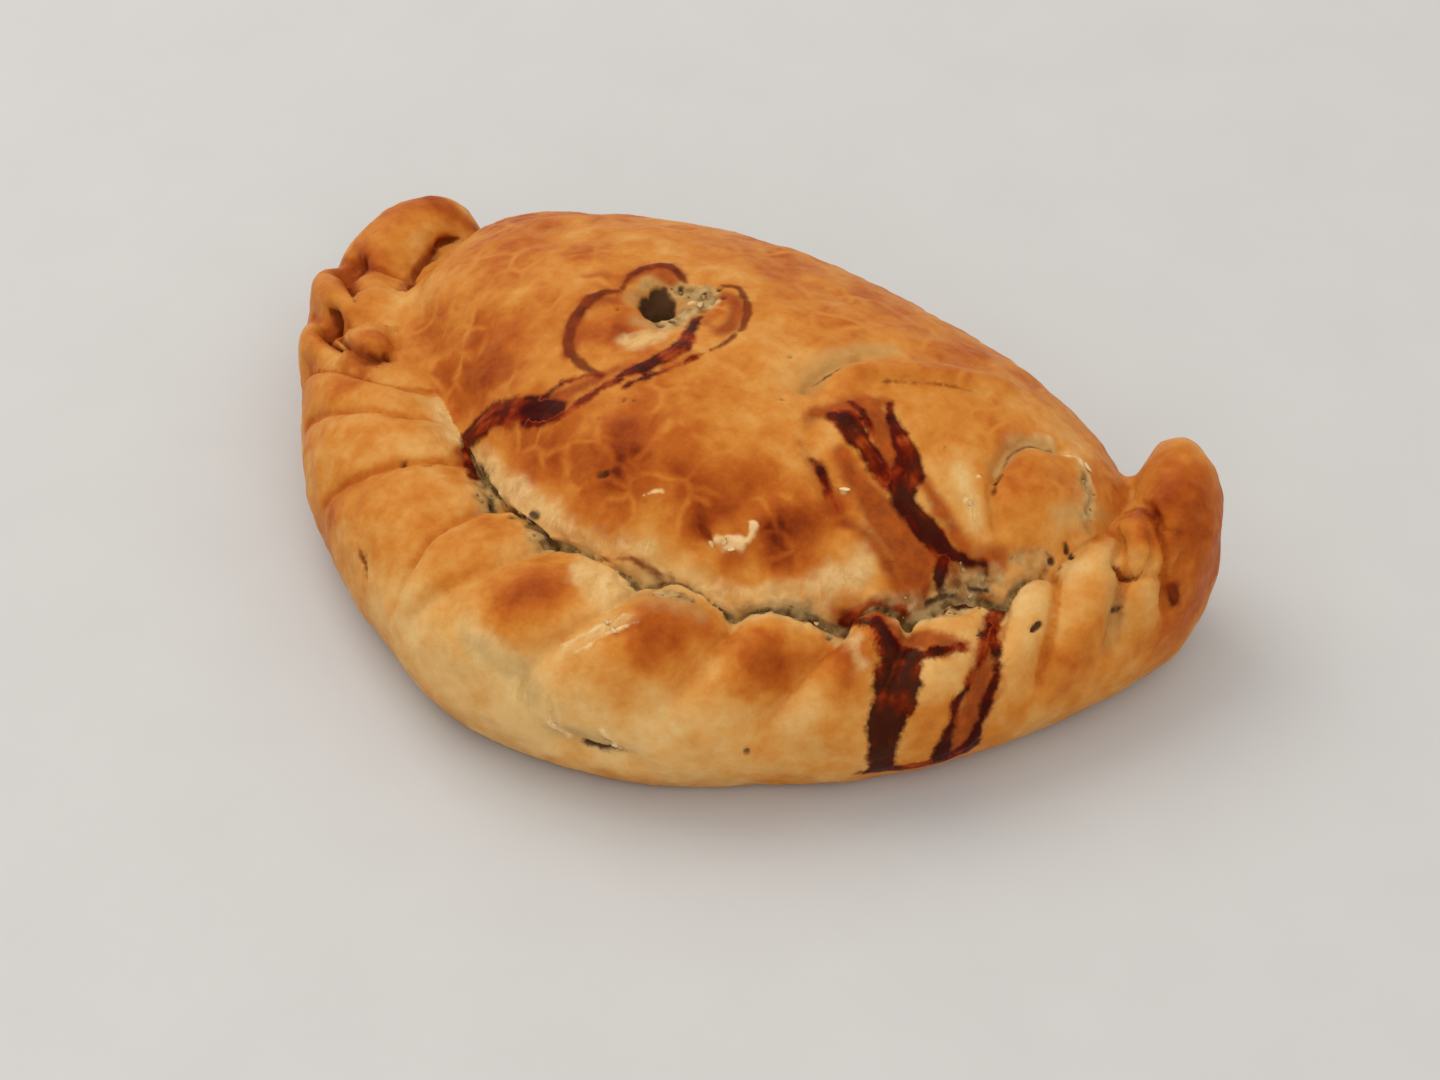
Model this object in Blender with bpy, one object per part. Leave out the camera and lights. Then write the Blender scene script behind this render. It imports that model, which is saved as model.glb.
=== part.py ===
"""A baked meat pasty, worked out in millimetres and built in metres, +Z up.

Two swelling shapes of dough make the crust. The loaf lies over the filling. The crimp is a thick
rope of folded dough that starts as an ear at the left, runs round the front and ends at the right
in a horn that turns up. Each starts as a sphere whose points are moved to where the dough is, then
swells and sinks along its own normals. A Boolean union joins them into one solid, and a cut at the
height of the baking tray makes the flat underside.

X runs along the length, +Y to the smooth back and -Y to the crimped front. The origin is under the
middle of the pasty, on its underside.
"""
import math

import bmesh
import bpy
import numpy as np
from mathutils import Matrix

MILLIMETRE = 0.001

# Driving dimensions, in millimetres.
LOAF_HEIGHT = 51.0
LOAF_WIDEST_AT = 16.0
LOAF_UNDERCUT = 0.09
LOAF_SHOULDER = 2.3
LOAF_CENTRE = (-2.0, 14.0)
VENT = (-12.2, 18.5)
CRIMP_END_ROUNDING = 10.0
CRIMP_LOWER_SQUARENESS = 2.2
CRIMP_INNER_REACH = 2.4
BELOW_TRAY = 2.0

# Fineness of the two meshes: points round the shape, and rings down or along it.
LOAF_SEGMENTS = 92
LOAF_RINGS = 40
CRIMP_SEGMENTS = 24
CRIMP_RING_SPACING = 2.1
WEB_SEGMENTS = 24
WEB_RINGS = 12

# The loaf's outline at its widest, seen from above, anticlockwise from the right.
LOAF_OUTLINE = [
    (85, 30), (78, 47), (53, 62), (20, 70),
    (-14, 71), (-44, 64), (-70, 51), (-79, 32),
    (-71, 12), (-52, -4), (-30, -19), (-8, -31),
    (20, -36), (46, -27), (66, -10), (79, 10),
]

# The middle of the crimp from ear to horn: x, y, z, then its half widths to the outside and, over
# the loaf, to the inside, and half its height.
CRIMP_STATIONS = [
    (-76, 50, 17, 10, 10, 12),
    (-86, 42, 15, 11, 11, 14),
    (-87, 28, 14, 12, 12, 14),
    (-80, 12.5, 14, 13, 13, 15),
    (-66.5, -1.5, 14, 15, 15, 16),
    (-49.5, -17.5, 14, 17, 17, 17),
    (-27, -33, 14, 17, 19, 17),
    (-4, -43.5, 14.6, 16, 26, 17.6),
    (24.5, -41, 15.5, 15, 23, 18),
    (46, -27.5, 14, 14.5, 18, 16),
    (64.5, -13, 14, 13, 15, 15),
    (76, 3, 14, 12, 14, 14),
    (83, 16, 15, 11, 11, 15),
    (88, 29.5, 17, 10, 10, 17),
    (87.5, 41, 22, 9, 9, 17),
    (82.5, 50, 28, 7, 7, 12),
    (78, 55, 31, 6, 6, 9),
]

# The crimp's folds. Each starts at a crease, which lies at the first length along the crimp low on
# its outer face and at the second length near its top. The third value is the fold's height, and the
# fourth is its slackness: 1 is a round ridge in a wide valley, less is a flat one in a tight crease.
FOLDS = [
    (0, 0, 2.0, 0.6),
    (27, 35, 5.0, 0.7),
    (42, 60, 4.5, 0.7),
    (58, 79, 2.2, 0.4),
    (74, 89, 2.0, 0.4),
    (95, 103, 2.6, 0.5),
    (127, 121, 2.6, 0.6),
    (131, 138, 3.0, 0.7),
    (151, 163, 4.2, 0.9),
    (173, 184, 4.2, 1.0),
    (189, 206, 4.2, 1.0),
    (209, 217, 3.6, 0.9),
    (224, 237, 2.6, 0.8),
    (237, 248, 2.4, 0.8),
    (251, 265, 3.4, 0.6),
    (264, 277, 2.6, 0.6),
]

# How far a crease has moved from its low length (0) to its high one (1), at angles round the crimp.
LEAN_ANGLES = [-90, -30, 25, 100, 140, 270]
LEAN_SHARES = [0.6, -0.1, 0.0, 1.0, 1.2, 0.6]

# Round swellings (height above 0) and hollows (below 0) of the loaf: x, y, radius, height.
LOAF_SWELLINGS = [
    (69, 21, 9, 2.4),
    (61.5, 22, 4, -1.6),
    (23, 14, 5, -1.8),
    (35, 12, 7, 1.0),
    (*VENT, 3.4, -4.5),
    (-9.5, 20, 9, -1.8),
    (-28, -8, 8, 1.0),
    (10, -15, 13, 1.2),
    (47, 32, 8, 1.0),
    (-45, 30, 16, -0.8),
]

# Long marks on the loaf, from above: half width, height, then the points of the line.
LOAF_MARKS = [
    ("gravy below the vent", 3.4, 1.0,
     [(-3.5, 18), (-1, 11), (-1, 5), (-4, -0.5), (-10, -9), (-16, -13), (-33, -12), (-37, -16)]),
    ("gravy over the right shoulder", 3.6, 1.0,
     [(39, 18), (47, 11), (50, 4), (59, 1), (66, 3)]),
    ("gravy beside it", 3.0, 0.8, [(30, 9), (38, 9), (47, 6)]),
    ("ring of dried juice, left", 1.8, 0.6,
     [(-14, 28), (-21, 24), (-22.5, 14), (-24, 8), (-20, 0), (-11, -3.5)]),
    ("ring of dried juice, right", 1.8, 0.6, [(-5, 29), (-2, 30), (4.5, 23.5), (5.7, 15)]),
    ("ridge on the right shoulder", 3.0, 1.2, [(30, 22), (38, 29), (50, 40)]),
    ("torn lip over the seam", 3.6, 2.2, [(-32, -16), (-22, -22), (-11, -26), (0, -29)]),
    ("seam, left", 2.4, -2.0,
     [(-38, -13), (-30, -18), (-21, -24), (-10, -29), (0, -31), (12, -31), (24, -30.5)]),
    ("seam, right", 2.4, -2.0, [(24, -30.5), (36, -28), (47, -22), (57, -12), (65, -3), (73, 9)]),
    ("crease beside the right bulge", 1.6, -1.0, [(62, 30), (61, 25), (61.5, 19), (64, 13)]),
    ("pit beside the ear", 3.5, -3.0, [(-72, 34), (-73, 26)]),
]

# Marks on the crimp: half width, height, then points as length along it and angle round it, where
# 0 faces out and 90 up.
CRIMP_MARKS = [
    ("hollow in the first fold", 3.8, -4.5, [(32, 60), (34, 70), (42, 84)]),
    ("hollow in the second fold", 3.0, -4.0, [(49, 54), (54, 58), (61, 60)]),
    ("curled knob", 3.6, 2.6, [(60, 92), (66, 88)]),
    ("gravy, left run", 3.6, 0.9, [(216, 112), (215, 77), (213, 46), (209, 9), (209, -16)]),
    ("gravy, right run", 3.0, 0.9, [(241, 108), (232, 68), (227, 28), (224, -12), (218, -40)]),
    ("gravy between the runs", 2.4, 0.7, [(218, 66), (227, 64)]),
    ("torn base", 3.0, -1.5, [(160, -8), (169, -10)]),
    ("knob before the horn", 3.8, 1.6, [(265, 75), (270, 104)]),
]


def spline(points, count, closed):
    """Points spread along a smooth curve that passes through the given ones."""
    given = np.asarray(points, float)
    if not closed:
        before = 2 * given[0] - given[1]
        after = 2 * given[-1] - given[-2]
        given = np.vstack([before, given, after])
    size = len(given)
    runs = size if closed else size - 3
    start = 0 if closed else 1
    place = np.linspace(0, runs, count, endpoint=not closed)
    whole = np.minimum(place.astype(int), runs - 1)
    part = (place - whole)[:, None]
    a, b, c, d = (given[(whole + start + step) % size] for step in (-1, 0, 1, 2))
    return 0.5 * (2 * b + (c - a) * part + (2 * a - 5 * b + 4 * c - d) * part ** 2
                  + (3 * b - a - 3 * c + d) * part ** 3)


def smooth_step(low, high, value):
    """0 below low, 1 above high, and a soft rise between them."""
    share = np.clip((value - low) / (high - low), 0.0, 1.0)
    return share * share * (3.0 - 2.0 * share)


def distance_to_line(points, line):
    """How far each point is from a line of straight runs, in the same two coordinates."""
    nearest = np.full(len(points), np.inf)
    for first, last in zip(line[:-1], line[1:]):
        first = np.asarray(first, float)
        run = np.asarray(last, float) - first
        share = np.clip((points - first) @ run / (run @ run), 0.0, 1.0)
        gap = np.linalg.norm(points - first - share[:, None] * run, axis=1)
        nearest = np.minimum(nearest, gap)
    return nearest


def loaf_radius(turn):
    """The outline's distance from the loaf's centre in the direction of each turn."""
    curve = spline(LOAF_OUTLINE, 2000, closed=True) - np.array(LOAF_CENTRE)
    angle = np.arctan2(curve[:, 1], curve[:, 0]) % math.tau
    order = np.argsort(angle)
    radius = np.hypot(curve[:, 0], curve[:, 1])
    return np.interp(turn % math.tau, angle[order], radius[order], period=math.tau)


def loaf_profile(down):
    """The share of the outline's radius, and the height, at each share of the way down."""
    quarter = np.linspace(0.0, math.pi / 2, 400)
    over_share = np.sin(quarter) ** (2 / LOAF_SHOULDER)
    over_height = LOAF_WIDEST_AT + (LOAF_HEIGHT - LOAF_WIDEST_AT) * np.cos(quarter)
    under_share = 1.0 - LOAF_UNDERCUT * (1.0 - np.cos(quarter))
    under_height = LOAF_WIDEST_AT - (LOAF_WIDEST_AT + BELOW_TRAY) * np.sin(quarter)
    share = np.concatenate([over_share, under_share[1:], [0.0]])
    height = np.concatenate([over_height, under_height[1:], [-BELOW_TRAY]])
    mean_radius = loaf_radius(np.linspace(0, math.tau, 100)).mean()
    steps = np.hypot(np.diff(share) * mean_radius, np.diff(height))
    way = np.concatenate([[0.0], np.cumsum(steps)])
    place = down * way[-1]
    return np.interp(place, way, share), np.interp(place, way, height)


def loaf_points(turn, down):
    """The loaf before its swellings and marks. Its rings close in on the vent, not on its centre."""
    share, height = loaf_profile(down)
    centre = np.array(LOAF_CENTRE)
    radius = share * loaf_radius(turn)
    flat = radius[:, None] * np.column_stack([np.cos(turn), np.sin(turn)])
    above = height > LOAF_WIDEST_AT
    pull = np.where(above, (1.0 - share) ** 2, 0.0)
    flat += pull[:, None] * (np.array(VENT) - centre)
    moved = np.hypot(flat[:, 0], flat[:, 1]) / loaf_radius(np.arctan2(flat[:, 1], flat[:, 0]))
    rise = np.sqrt(np.clip(1.0 - moved ** LOAF_SHOULDER, 0.0, 1.0))
    height = np.where(above, LOAF_WIDEST_AT + (LOAF_HEIGHT - LOAF_WIDEST_AT) * rise, height)
    return np.column_stack([flat + centre, height])


def loaf_relief(points):
    """How far the loaf's surface stands out or in at each of its points."""
    above = points[:, :2]
    relief = np.zeros(len(points))
    for x, y, radius, height in LOAF_SWELLINGS:
        gap = np.hypot(above[:, 0] - x, above[:, 1] - y)
        relief += height * np.exp(-(gap / radius) ** 2)
    for _, half_width, height, line in LOAF_MARKS:
        relief += height * np.exp(-(distance_to_line(above, line) / half_width) ** 2)
    return relief * smooth_step(2.0, 12.0, points[:, 2])


def crimp_course():
    """The crimp's stations close together, and the length along it at each of them."""
    fine = spline(CRIMP_STATIONS, 3000, closed=False)
    steps = np.linalg.norm(np.diff(fine[:, :3], axis=0), axis=1)
    return fine, np.concatenate([[0.0], np.cumsum(steps)])


def fold_starts():
    """Each fold's low and high length, with the end of the crimp last."""
    length = crimp_course()[1][-1]
    return [(low, high) for low, high, _, _ in FOLDS] + [(length, length)]


def fold_rings():
    """Which fold each ring of the crimp lies in, and what share of the fold is behind it."""
    starts = fold_starts()
    fold = []
    share = []
    for number, (start, end) in enumerate(zip(starts[:-1], starts[1:])):
        width = (sum(end) - sum(start)) / 2
        count = max(5, round(width / CRIMP_RING_SPACING))
        for step in range(count):
            fold.append(number)
            share.append(0.5 - 0.5 * math.cos(math.pi * step / count))
    fold.append(len(FOLDS) - 1)
    share.append(1.0)
    return np.array(fold), np.array(share)


def crimp_places(fold, share, angle):
    """The length along the crimp at a share of a fold, which leans with the angle round it."""
    starts = np.array(fold_starts(), float)
    lean = np.interp(angle, LEAN_ANGLES, LEAN_SHARES)
    first = starts[fold, 0] + (starts[fold, 1] - starts[fold, 0]) * lean
    last = starts[fold + 1, 0] + (starts[fold + 1, 1] - starts[fold + 1, 0]) * lean
    return first + (last - first) * share


def crimp_section(turn, rounding):
    """A section through the crimp: an oval above, squarer below and reaching under the loaf."""
    out = np.cos(turn)
    up = np.sin(turn)
    power = np.where(up < 0, 2.0 / CRIMP_LOWER_SQUARENESS, 1.0)
    out = np.sign(out) * np.abs(out) ** power
    up = np.sign(up) * np.abs(up) ** power
    under_loaf = (out < 0) & (up < 0)
    reach = 1.0 + (CRIMP_INNER_REACH - 1.0) * smooth_step(0.9, 1.0, rounding) * np.clip(-4 * up, 0, 1)
    return np.where(under_loaf, out * reach, out), up


def crimp_points(turn, place):
    """The crimp before its folds and marks, and how nearly each point is at its full thickness."""
    fine, way = crimp_course()
    stations = np.column_stack([np.interp(place, way, fine[:, column]) for column in range(6)])
    course = fine[:, :3]
    forward = np.gradient(course, way, axis=0)
    forward = np.column_stack([np.interp(place, way, forward[:, axis]) for axis in range(3)])
    forward /= np.linalg.norm(forward, axis=1)[:, None]
    outward = np.cross(forward, [0.0, 0.0, 1.0])
    outward /= np.linalg.norm(outward, axis=1)[:, None]
    upward = np.cross(outward, forward)
    from_end = np.minimum(place, way[-1] - place) / CRIMP_END_ROUNDING
    rounding = np.sqrt(np.clip(1.0 - (1.0 - np.clip(from_end, 0, 1)) ** 2, 0.0, 1.0))
    out, up = crimp_section(turn, rounding)
    half_width = np.where((out < 0) & (up > 0), stations[:, 4], stations[:, 3])
    out = (half_width * rounding * out)[:, None] * outward
    up = (stations[:, 5] * rounding * up)[:, None] * upward
    return stations[:, :3] + out + up, rounding


def fold_relief(fold, share, angle):
    """How far the crimp's folds stand out, each a little steeper at its start than at its end."""
    height = np.array([entry[2] for entry in FOLDS])[fold]
    slackness = np.array([entry[3] for entry in FOLDS])[fold]
    ridge = np.sin(math.pi * np.clip(share, 0.0, 1.0) ** 0.85) ** slackness
    shown = smooth_step(-10.0, 45.0, angle) * np.clip((170.0 - angle) / 65.0, 0.0, 1.0)
    return height * (ridge - 0.7) * shown


def crimp_relief(fold, share, place, angle):
    """How far the crimp's surface stands out or in at each of its points."""
    millimetres_a_degree = 0.27
    flat = np.column_stack([place, angle * millimetres_a_degree])
    relief = fold_relief(fold, share, angle)
    for _, half_width, height, line in CRIMP_MARKS:
        route = [(length, turn * millimetres_a_degree) for length, turn in line]
        relief += height * np.exp(-(distance_to_line(flat, route) / half_width) ** 2)
    return relief


def unit_sphere(segments, rings):
    """A sphere, with each point's turn about Z and its share of the way from top to bottom."""
    sphere = bmesh.new()
    bmesh.ops.create_uvsphere(sphere, u_segments=segments, v_segments=rings, radius=1.0)
    points = np.array([vertex.co for vertex in sphere.verts])
    turn = np.arctan2(points[:, 1], points[:, 0])
    down = np.arccos(np.clip(points[:, 2], -1.0, 1.0)) / math.pi
    return sphere, turn, down


def place_points(shape, points):
    """Moves a mesh's points to the given places."""
    for vertex, point in zip(shape.verts, points):
        vertex.co = point
    shape.normal_update()


def swell(shape, relief):
    """Moves a mesh's points along their normals."""
    for vertex, height in zip(shape.verts, relief):
        vertex.co += vertex.normal * height
    shape.normal_update()


def new_object(name, shape, collection):
    """Turns a mesh that was worked out in millimetres into an object in metres."""
    bmesh.ops.scale(shape, vec=(MILLIMETRE,) * 3, verts=shape.verts)
    mesh = bpy.data.meshes.new(name)
    shape.to_mesh(mesh)
    shape.free()
    piece = bpy.data.objects.new(name, mesh)
    collection.objects.link(piece)
    return piece


def make_loaf(collection):
    """The smooth loaf of crust over the filling."""
    shape, turn, down = unit_sphere(LOAF_SEGMENTS, LOAF_RINGS)
    points = loaf_points(turn, down)
    place_points(shape, points)
    swell(shape, loaf_relief(points))
    return new_object("pasty", shape, collection)


def make_crimp(collection):
    """The folded rope of dough, from the ear to the horn, with a ring of points in each crease."""
    ring_fold, ring_share = fold_rings()
    last_ring = len(ring_fold) - 1
    shape, turn, along = unit_sphere(CRIMP_SEGMENTS, last_ring)
    ring = np.round(along * last_ring).astype(int)
    fold = ring_fold[ring]
    share = ring_share[ring]
    angle = (np.degrees(turn) + 90.0) % 360.0 - 90.0
    place = crimp_places(fold, share, angle)
    points, rounding = crimp_points(turn, place)
    place_points(shape, points)
    swell(shape, crimp_relief(fold, share, place, angle) * rounding)
    return new_object("crimp", shape, collection)


def make_web(collection):
    """The dough that bridges the loaf and the crimp at the left, where no seam has opened."""
    middle = (-61.0, 3.5, 20.5)
    half_sizes = (29.0, 14.0, 10.0)
    shape, _, _ = unit_sphere(WEB_SEGMENTS, WEB_RINGS)
    bmesh.ops.scale(shape, vec=half_sizes, verts=shape.verts)
    turned = Matrix.Rotation(math.radians(-48), 3, "Z")
    bmesh.ops.rotate(shape, cent=(0, 0, 0), matrix=turned, verts=shape.verts)
    bmesh.ops.translate(shape, vec=middle, verts=shape.verts)
    return new_object("web", shape, collection)


def make_tray_cutter(collection):
    """Everything below the tray, which the dough can't sink into."""
    half_side = 150.0
    depth = 30.0
    shape = bmesh.new()
    bmesh.ops.create_cube(shape, size=1.0)
    bmesh.ops.scale(shape, vec=(2 * half_side, 2 * half_side, depth), verts=shape.verts)
    bmesh.ops.translate(shape, vec=(0.0, 0.0, -depth / 2), verts=shape.verts)
    cutter = new_object("below_tray", shape, collection)
    cutter.hide_render = True
    cutter.display_type = "WIRE"
    return cutter


def new_collection(name):
    collection = bpy.data.collections.new(name)
    bpy.context.scene.collection.children.link(collection)
    return collection


def apply_boolean(piece, operation, collection):
    """Joins or cuts a piece with every object in a collection, and keeps the result as its mesh."""
    boolean = piece.modifiers.new(operation.lower(), "BOOLEAN")
    boolean.operation = operation
    boolean.operand_type = "COLLECTION"
    boolean.collection = collection
    boolean.solver = "EXACT"
    bpy.context.view_layer.update()
    evaluated = piece.evaluated_get(bpy.context.evaluated_depsgraph_get())
    mesh = bpy.data.meshes.new_from_object(evaluated)
    piece.modifiers.remove(boolean)
    old_mesh = piece.data
    piece.data = mesh
    bpy.data.meshes.remove(old_mesh)
    mesh.name = piece.name


def remove_with_objects(collection):
    """Removes a collection and the objects that a Boolean has used up."""
    for piece in list(collection.objects):
        bpy.data.objects.remove(piece, do_unlink=True)
    bpy.data.collections.remove(collection)


def centre_on_origin(piece):
    """Moves the mesh so that the middle of its box is over the origin and its underside at 0."""
    points = np.array([vertex.co for vertex in piece.data.vertices])
    low = points.min(axis=0)
    high = points.max(axis=0)
    shift = np.array([(low[0] + high[0]) / 2, (low[1] + high[1]) / 2, low[2]])
    for vertex, point in zip(piece.data.vertices, points - shift):
        vertex.co = point


def baked_crust():
    """Egg-washed pastry, golden brown and a little glossy."""
    material = bpy.data.materials.new("baked_crust")
    material.use_nodes = True
    shader = material.node_tree.nodes["Principled BSDF"]
    shader.inputs["Base Color"].default_value = (0.56, 0.27, 0.08, 1.0)
    shader.inputs["Roughness"].default_value = 0.42
    shader.inputs["Metallic"].default_value = 0.0
    return material


def main():
    for piece in list(bpy.data.objects):
        bpy.data.objects.remove(piece, do_unlink=True)
    model = new_collection("meat_pasty")
    dough = new_collection("dough_to_join")
    cutters = new_collection("cutters")
    pasty = make_loaf(model)
    make_crimp(dough)
    make_web(dough)
    make_tray_cutter(cutters)
    apply_boolean(pasty, "UNION", dough)
    apply_boolean(pasty, "DIFFERENCE", cutters)
    remove_with_objects(dough)
    centre_on_origin(pasty)
    pasty.data.materials.clear()
    pasty.data.materials.append(baked_crust())
    pasty.data.shade_smooth()
    pasty.data.set_sharp_from_angle(angle=math.radians(50))


main()
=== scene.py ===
"""The looks of a baked meat pasty: its fine surface, its colours, the light and the camera.

The pasty is worked out in millimetres, in the drawing frame of the part, and moved to the row frame
at the end. The loaf of crust, the folded crimp and the web of dough between them are made as fine
skins, remeshed into one surface, and given their small relief. What each point of the surface is
made of is worked out from where it lies, and kept as attributes that the materials read.
"""

import math

import bpy
import numpy as np
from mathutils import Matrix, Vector
from mathutils.bvhtree import BVHTree


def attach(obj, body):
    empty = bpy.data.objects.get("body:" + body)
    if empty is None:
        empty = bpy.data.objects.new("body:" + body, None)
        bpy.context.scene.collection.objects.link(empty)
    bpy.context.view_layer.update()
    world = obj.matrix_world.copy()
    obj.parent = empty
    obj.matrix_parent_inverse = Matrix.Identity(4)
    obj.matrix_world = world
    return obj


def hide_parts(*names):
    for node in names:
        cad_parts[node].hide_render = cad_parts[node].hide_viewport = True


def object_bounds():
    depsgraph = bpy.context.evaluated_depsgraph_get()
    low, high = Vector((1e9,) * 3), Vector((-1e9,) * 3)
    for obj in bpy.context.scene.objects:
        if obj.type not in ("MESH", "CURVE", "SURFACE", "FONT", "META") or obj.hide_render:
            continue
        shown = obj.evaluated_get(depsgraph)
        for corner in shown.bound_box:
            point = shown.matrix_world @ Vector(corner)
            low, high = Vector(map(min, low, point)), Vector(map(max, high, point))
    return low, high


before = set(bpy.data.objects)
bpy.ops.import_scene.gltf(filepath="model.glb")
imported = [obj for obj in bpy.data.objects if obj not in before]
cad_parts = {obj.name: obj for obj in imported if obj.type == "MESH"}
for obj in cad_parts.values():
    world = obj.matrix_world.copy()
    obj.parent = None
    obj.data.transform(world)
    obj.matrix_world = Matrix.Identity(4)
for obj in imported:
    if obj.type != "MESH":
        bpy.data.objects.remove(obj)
cad_low, cad_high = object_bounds()

MILLIMETRE = 0.001

# The part's own sizes, in millimetres.
LOAF_HEIGHT = 51.0
LOAF_WIDEST_AT = 16.0
LOAF_UNDERCUT = 0.09
LOAF_SHOULDER = 2.3
LOAF_CENTRE = (-2.0, 14.0)
VENT = (-12.2, 18.5)
CRIMP_END_ROUNDING = 10.0
CRIMP_LOWER_SQUARENESS = 2.2
CRIMP_INNER_REACH = 2.4
WEB_MIDDLE = (-61.0, 3.5, 20.5)
WEB_HALF_SIZES = (29.0, 14.0, 10.0)
WEB_TURN = math.radians(-48)

# Where the middle of the pasty's box lies in the drawing frame.
DRAWING_MIDDLE = (-0.55, 5.85)

# Fineness of the skins and of the finished surface.
LOAF_SEGMENTS = 260
LOAF_RINGS = 120
CRIMP_SEGMENTS = 96
CRIMP_RING_SPACING = 0.6
WEB_RINGS = 40
WEB_SEGMENTS = 80
VOXEL = 0.58
MOST_TRIANGLES = 192000

# The remeshed surface is smoothed this many times, by this share, and more where no seam has opened:
# by a share left and right of X 0 that fades over a distance from the seam, in millimetres.
SMOOTHING_ROUNDS = 50
SMOOTHING = 0.12
CLOSED_SEAM_SMOOTHING = (0.8, 0.25)
CLOSED_SEAM_REACH = 8.0
# How far to either side of their border the loaf passes into the crimp.
BORDER_SOFTNESS = 0.6

# The loaf's outline at its widest, seen from above, anticlockwise from the right.
LOAF_OUTLINE = [
    (85, 30), (78, 47), (53, 62), (20, 70),
    (-14, 71), (-44, 64), (-70, 51), (-79, 32),
    (-71, 12), (-52, -4), (-30, -19), (-8, -31),
    (20, -36), (46, -27), (66, -10), (79, 10),
]

# The middle of the crimp from ear to horn: x, y, z, then its half widths to the outside and, over
# the loaf, to the inside, and half its height.
CRIMP_STATIONS = [
    (-76, 50, 17, 10, 10, 12),
    (-86, 42, 15, 11, 11, 14),
    (-87, 28, 14, 12, 12, 14),
    (-80, 12.5, 14, 13, 13, 15),
    (-66.5, -1.5, 14, 15, 15, 16),
    (-49.5, -17.5, 14, 17, 17, 17),
    (-27, -33, 14, 17, 19, 17),
    (-4, -43.5, 14.6, 16, 26, 17.6),
    (24.5, -41, 15.5, 15, 23, 18),
    (46, -27.5, 14, 14.5, 18, 16),
    (64.5, -13, 14, 13, 15, 15),
    (76, 3, 14, 12, 14, 14),
    (83, 16, 15, 11, 11, 15),
    (88, 29.5, 17, 10, 10, 17),
    (87.5, 41, 22, 9, 9, 17),
    (82.5, 50, 28, 7, 7, 12),
    (78, 55, 31, 6, 6, 9),
]

# The crimp's folds: the length along the crimp at which each starts, low on its outer face and near
# its top, then its height and its slackness.
FOLDS = [
    (0, 0, 2.0, 0.6),
    (27, 35, 5.0, 0.7),
    (42, 60, 4.5, 0.7),
    (58, 79, 2.2, 0.4),
    (74, 89, 2.0, 0.4),
    (95, 103, 2.6, 0.5),
    (127, 121, 2.6, 0.6),
    (131, 138, 3.0, 0.7),
    (151, 163, 4.2, 0.9),
    (173, 184, 4.2, 1.0),
    (189, 206, 4.2, 1.0),
    (209, 217, 3.6, 0.9),
    (224, 237, 2.6, 0.8),
    (237, 248, 2.4, 0.8),
    (251, 265, 3.4, 0.6),
    (264, 277, 2.6, 0.6),
]
LEAN_ANGLES = [-90, -30, 25, 100, 140, 270]
LEAN_SHARES = [0.6, -0.1, 0.0, 1.0, 1.2, 0.6]
MILLIMETRES_A_DEGREE = 0.27
FAR_OUTSIDE = -20.0

# Round swellings (height above 0) and hollows (below 0) of the loaf: x, y, radius, height.
LOAF_SWELLINGS = [
    (69, 21, 9, 2.4),
    (61.5, 22, 4, -1.6),
    (23, 14, 5, -1.8),
    (35, 12, 7, 1.0),
    (*VENT, 3.4, -4.5),
    (-9.5, 20, 9, -1.8),
    (-28, -8, 8, 1.0),
    (10, -15, 13, 1.2),
    (47, 32, 8, 1.0),
    (-45, 30, 16, -0.8),
]

# Lines on the loaf from above: half width, height, then the points.
LOAF_MARKS = [
    ("ridge on the right shoulder", 2.6, 1.2, [(30, 22), (38, 29), (50, 40)]),
    ("ledge below that ridge", 1.2, -0.7, [(33, 21), (40, 26.5), (50, 34)]),
    ("crease round the right bulge", 1.3, -1.6,
     [(66, 33.5), (62, 30), (60.5, 25), (61, 20), (62.5, 15.5), (66, 11)]),
    ("crease in the dimple", 0.8, -1, [(24, 12.5), (23.5, 16), (25.5, 21), (28, 25)]),
    ("torn lip over the seam", 3, 2, [(-34, -16), (-22, -22), (-11, -26), (0, -29)]),
    ("pit beside the ear", 3.5, -3, [(-72, 34), (-73, 26)]),
    ("fold from the ear's pit", 1.2, -1.6, [(-76, 25), (-73.5, 18), (-74, 15.6), (-73, 10.3)]),
    ("left edge of the front panel", 1.6, -0.8, [(30, 4), (35, -2), (40, -6), (45, -7)]),
]

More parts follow.
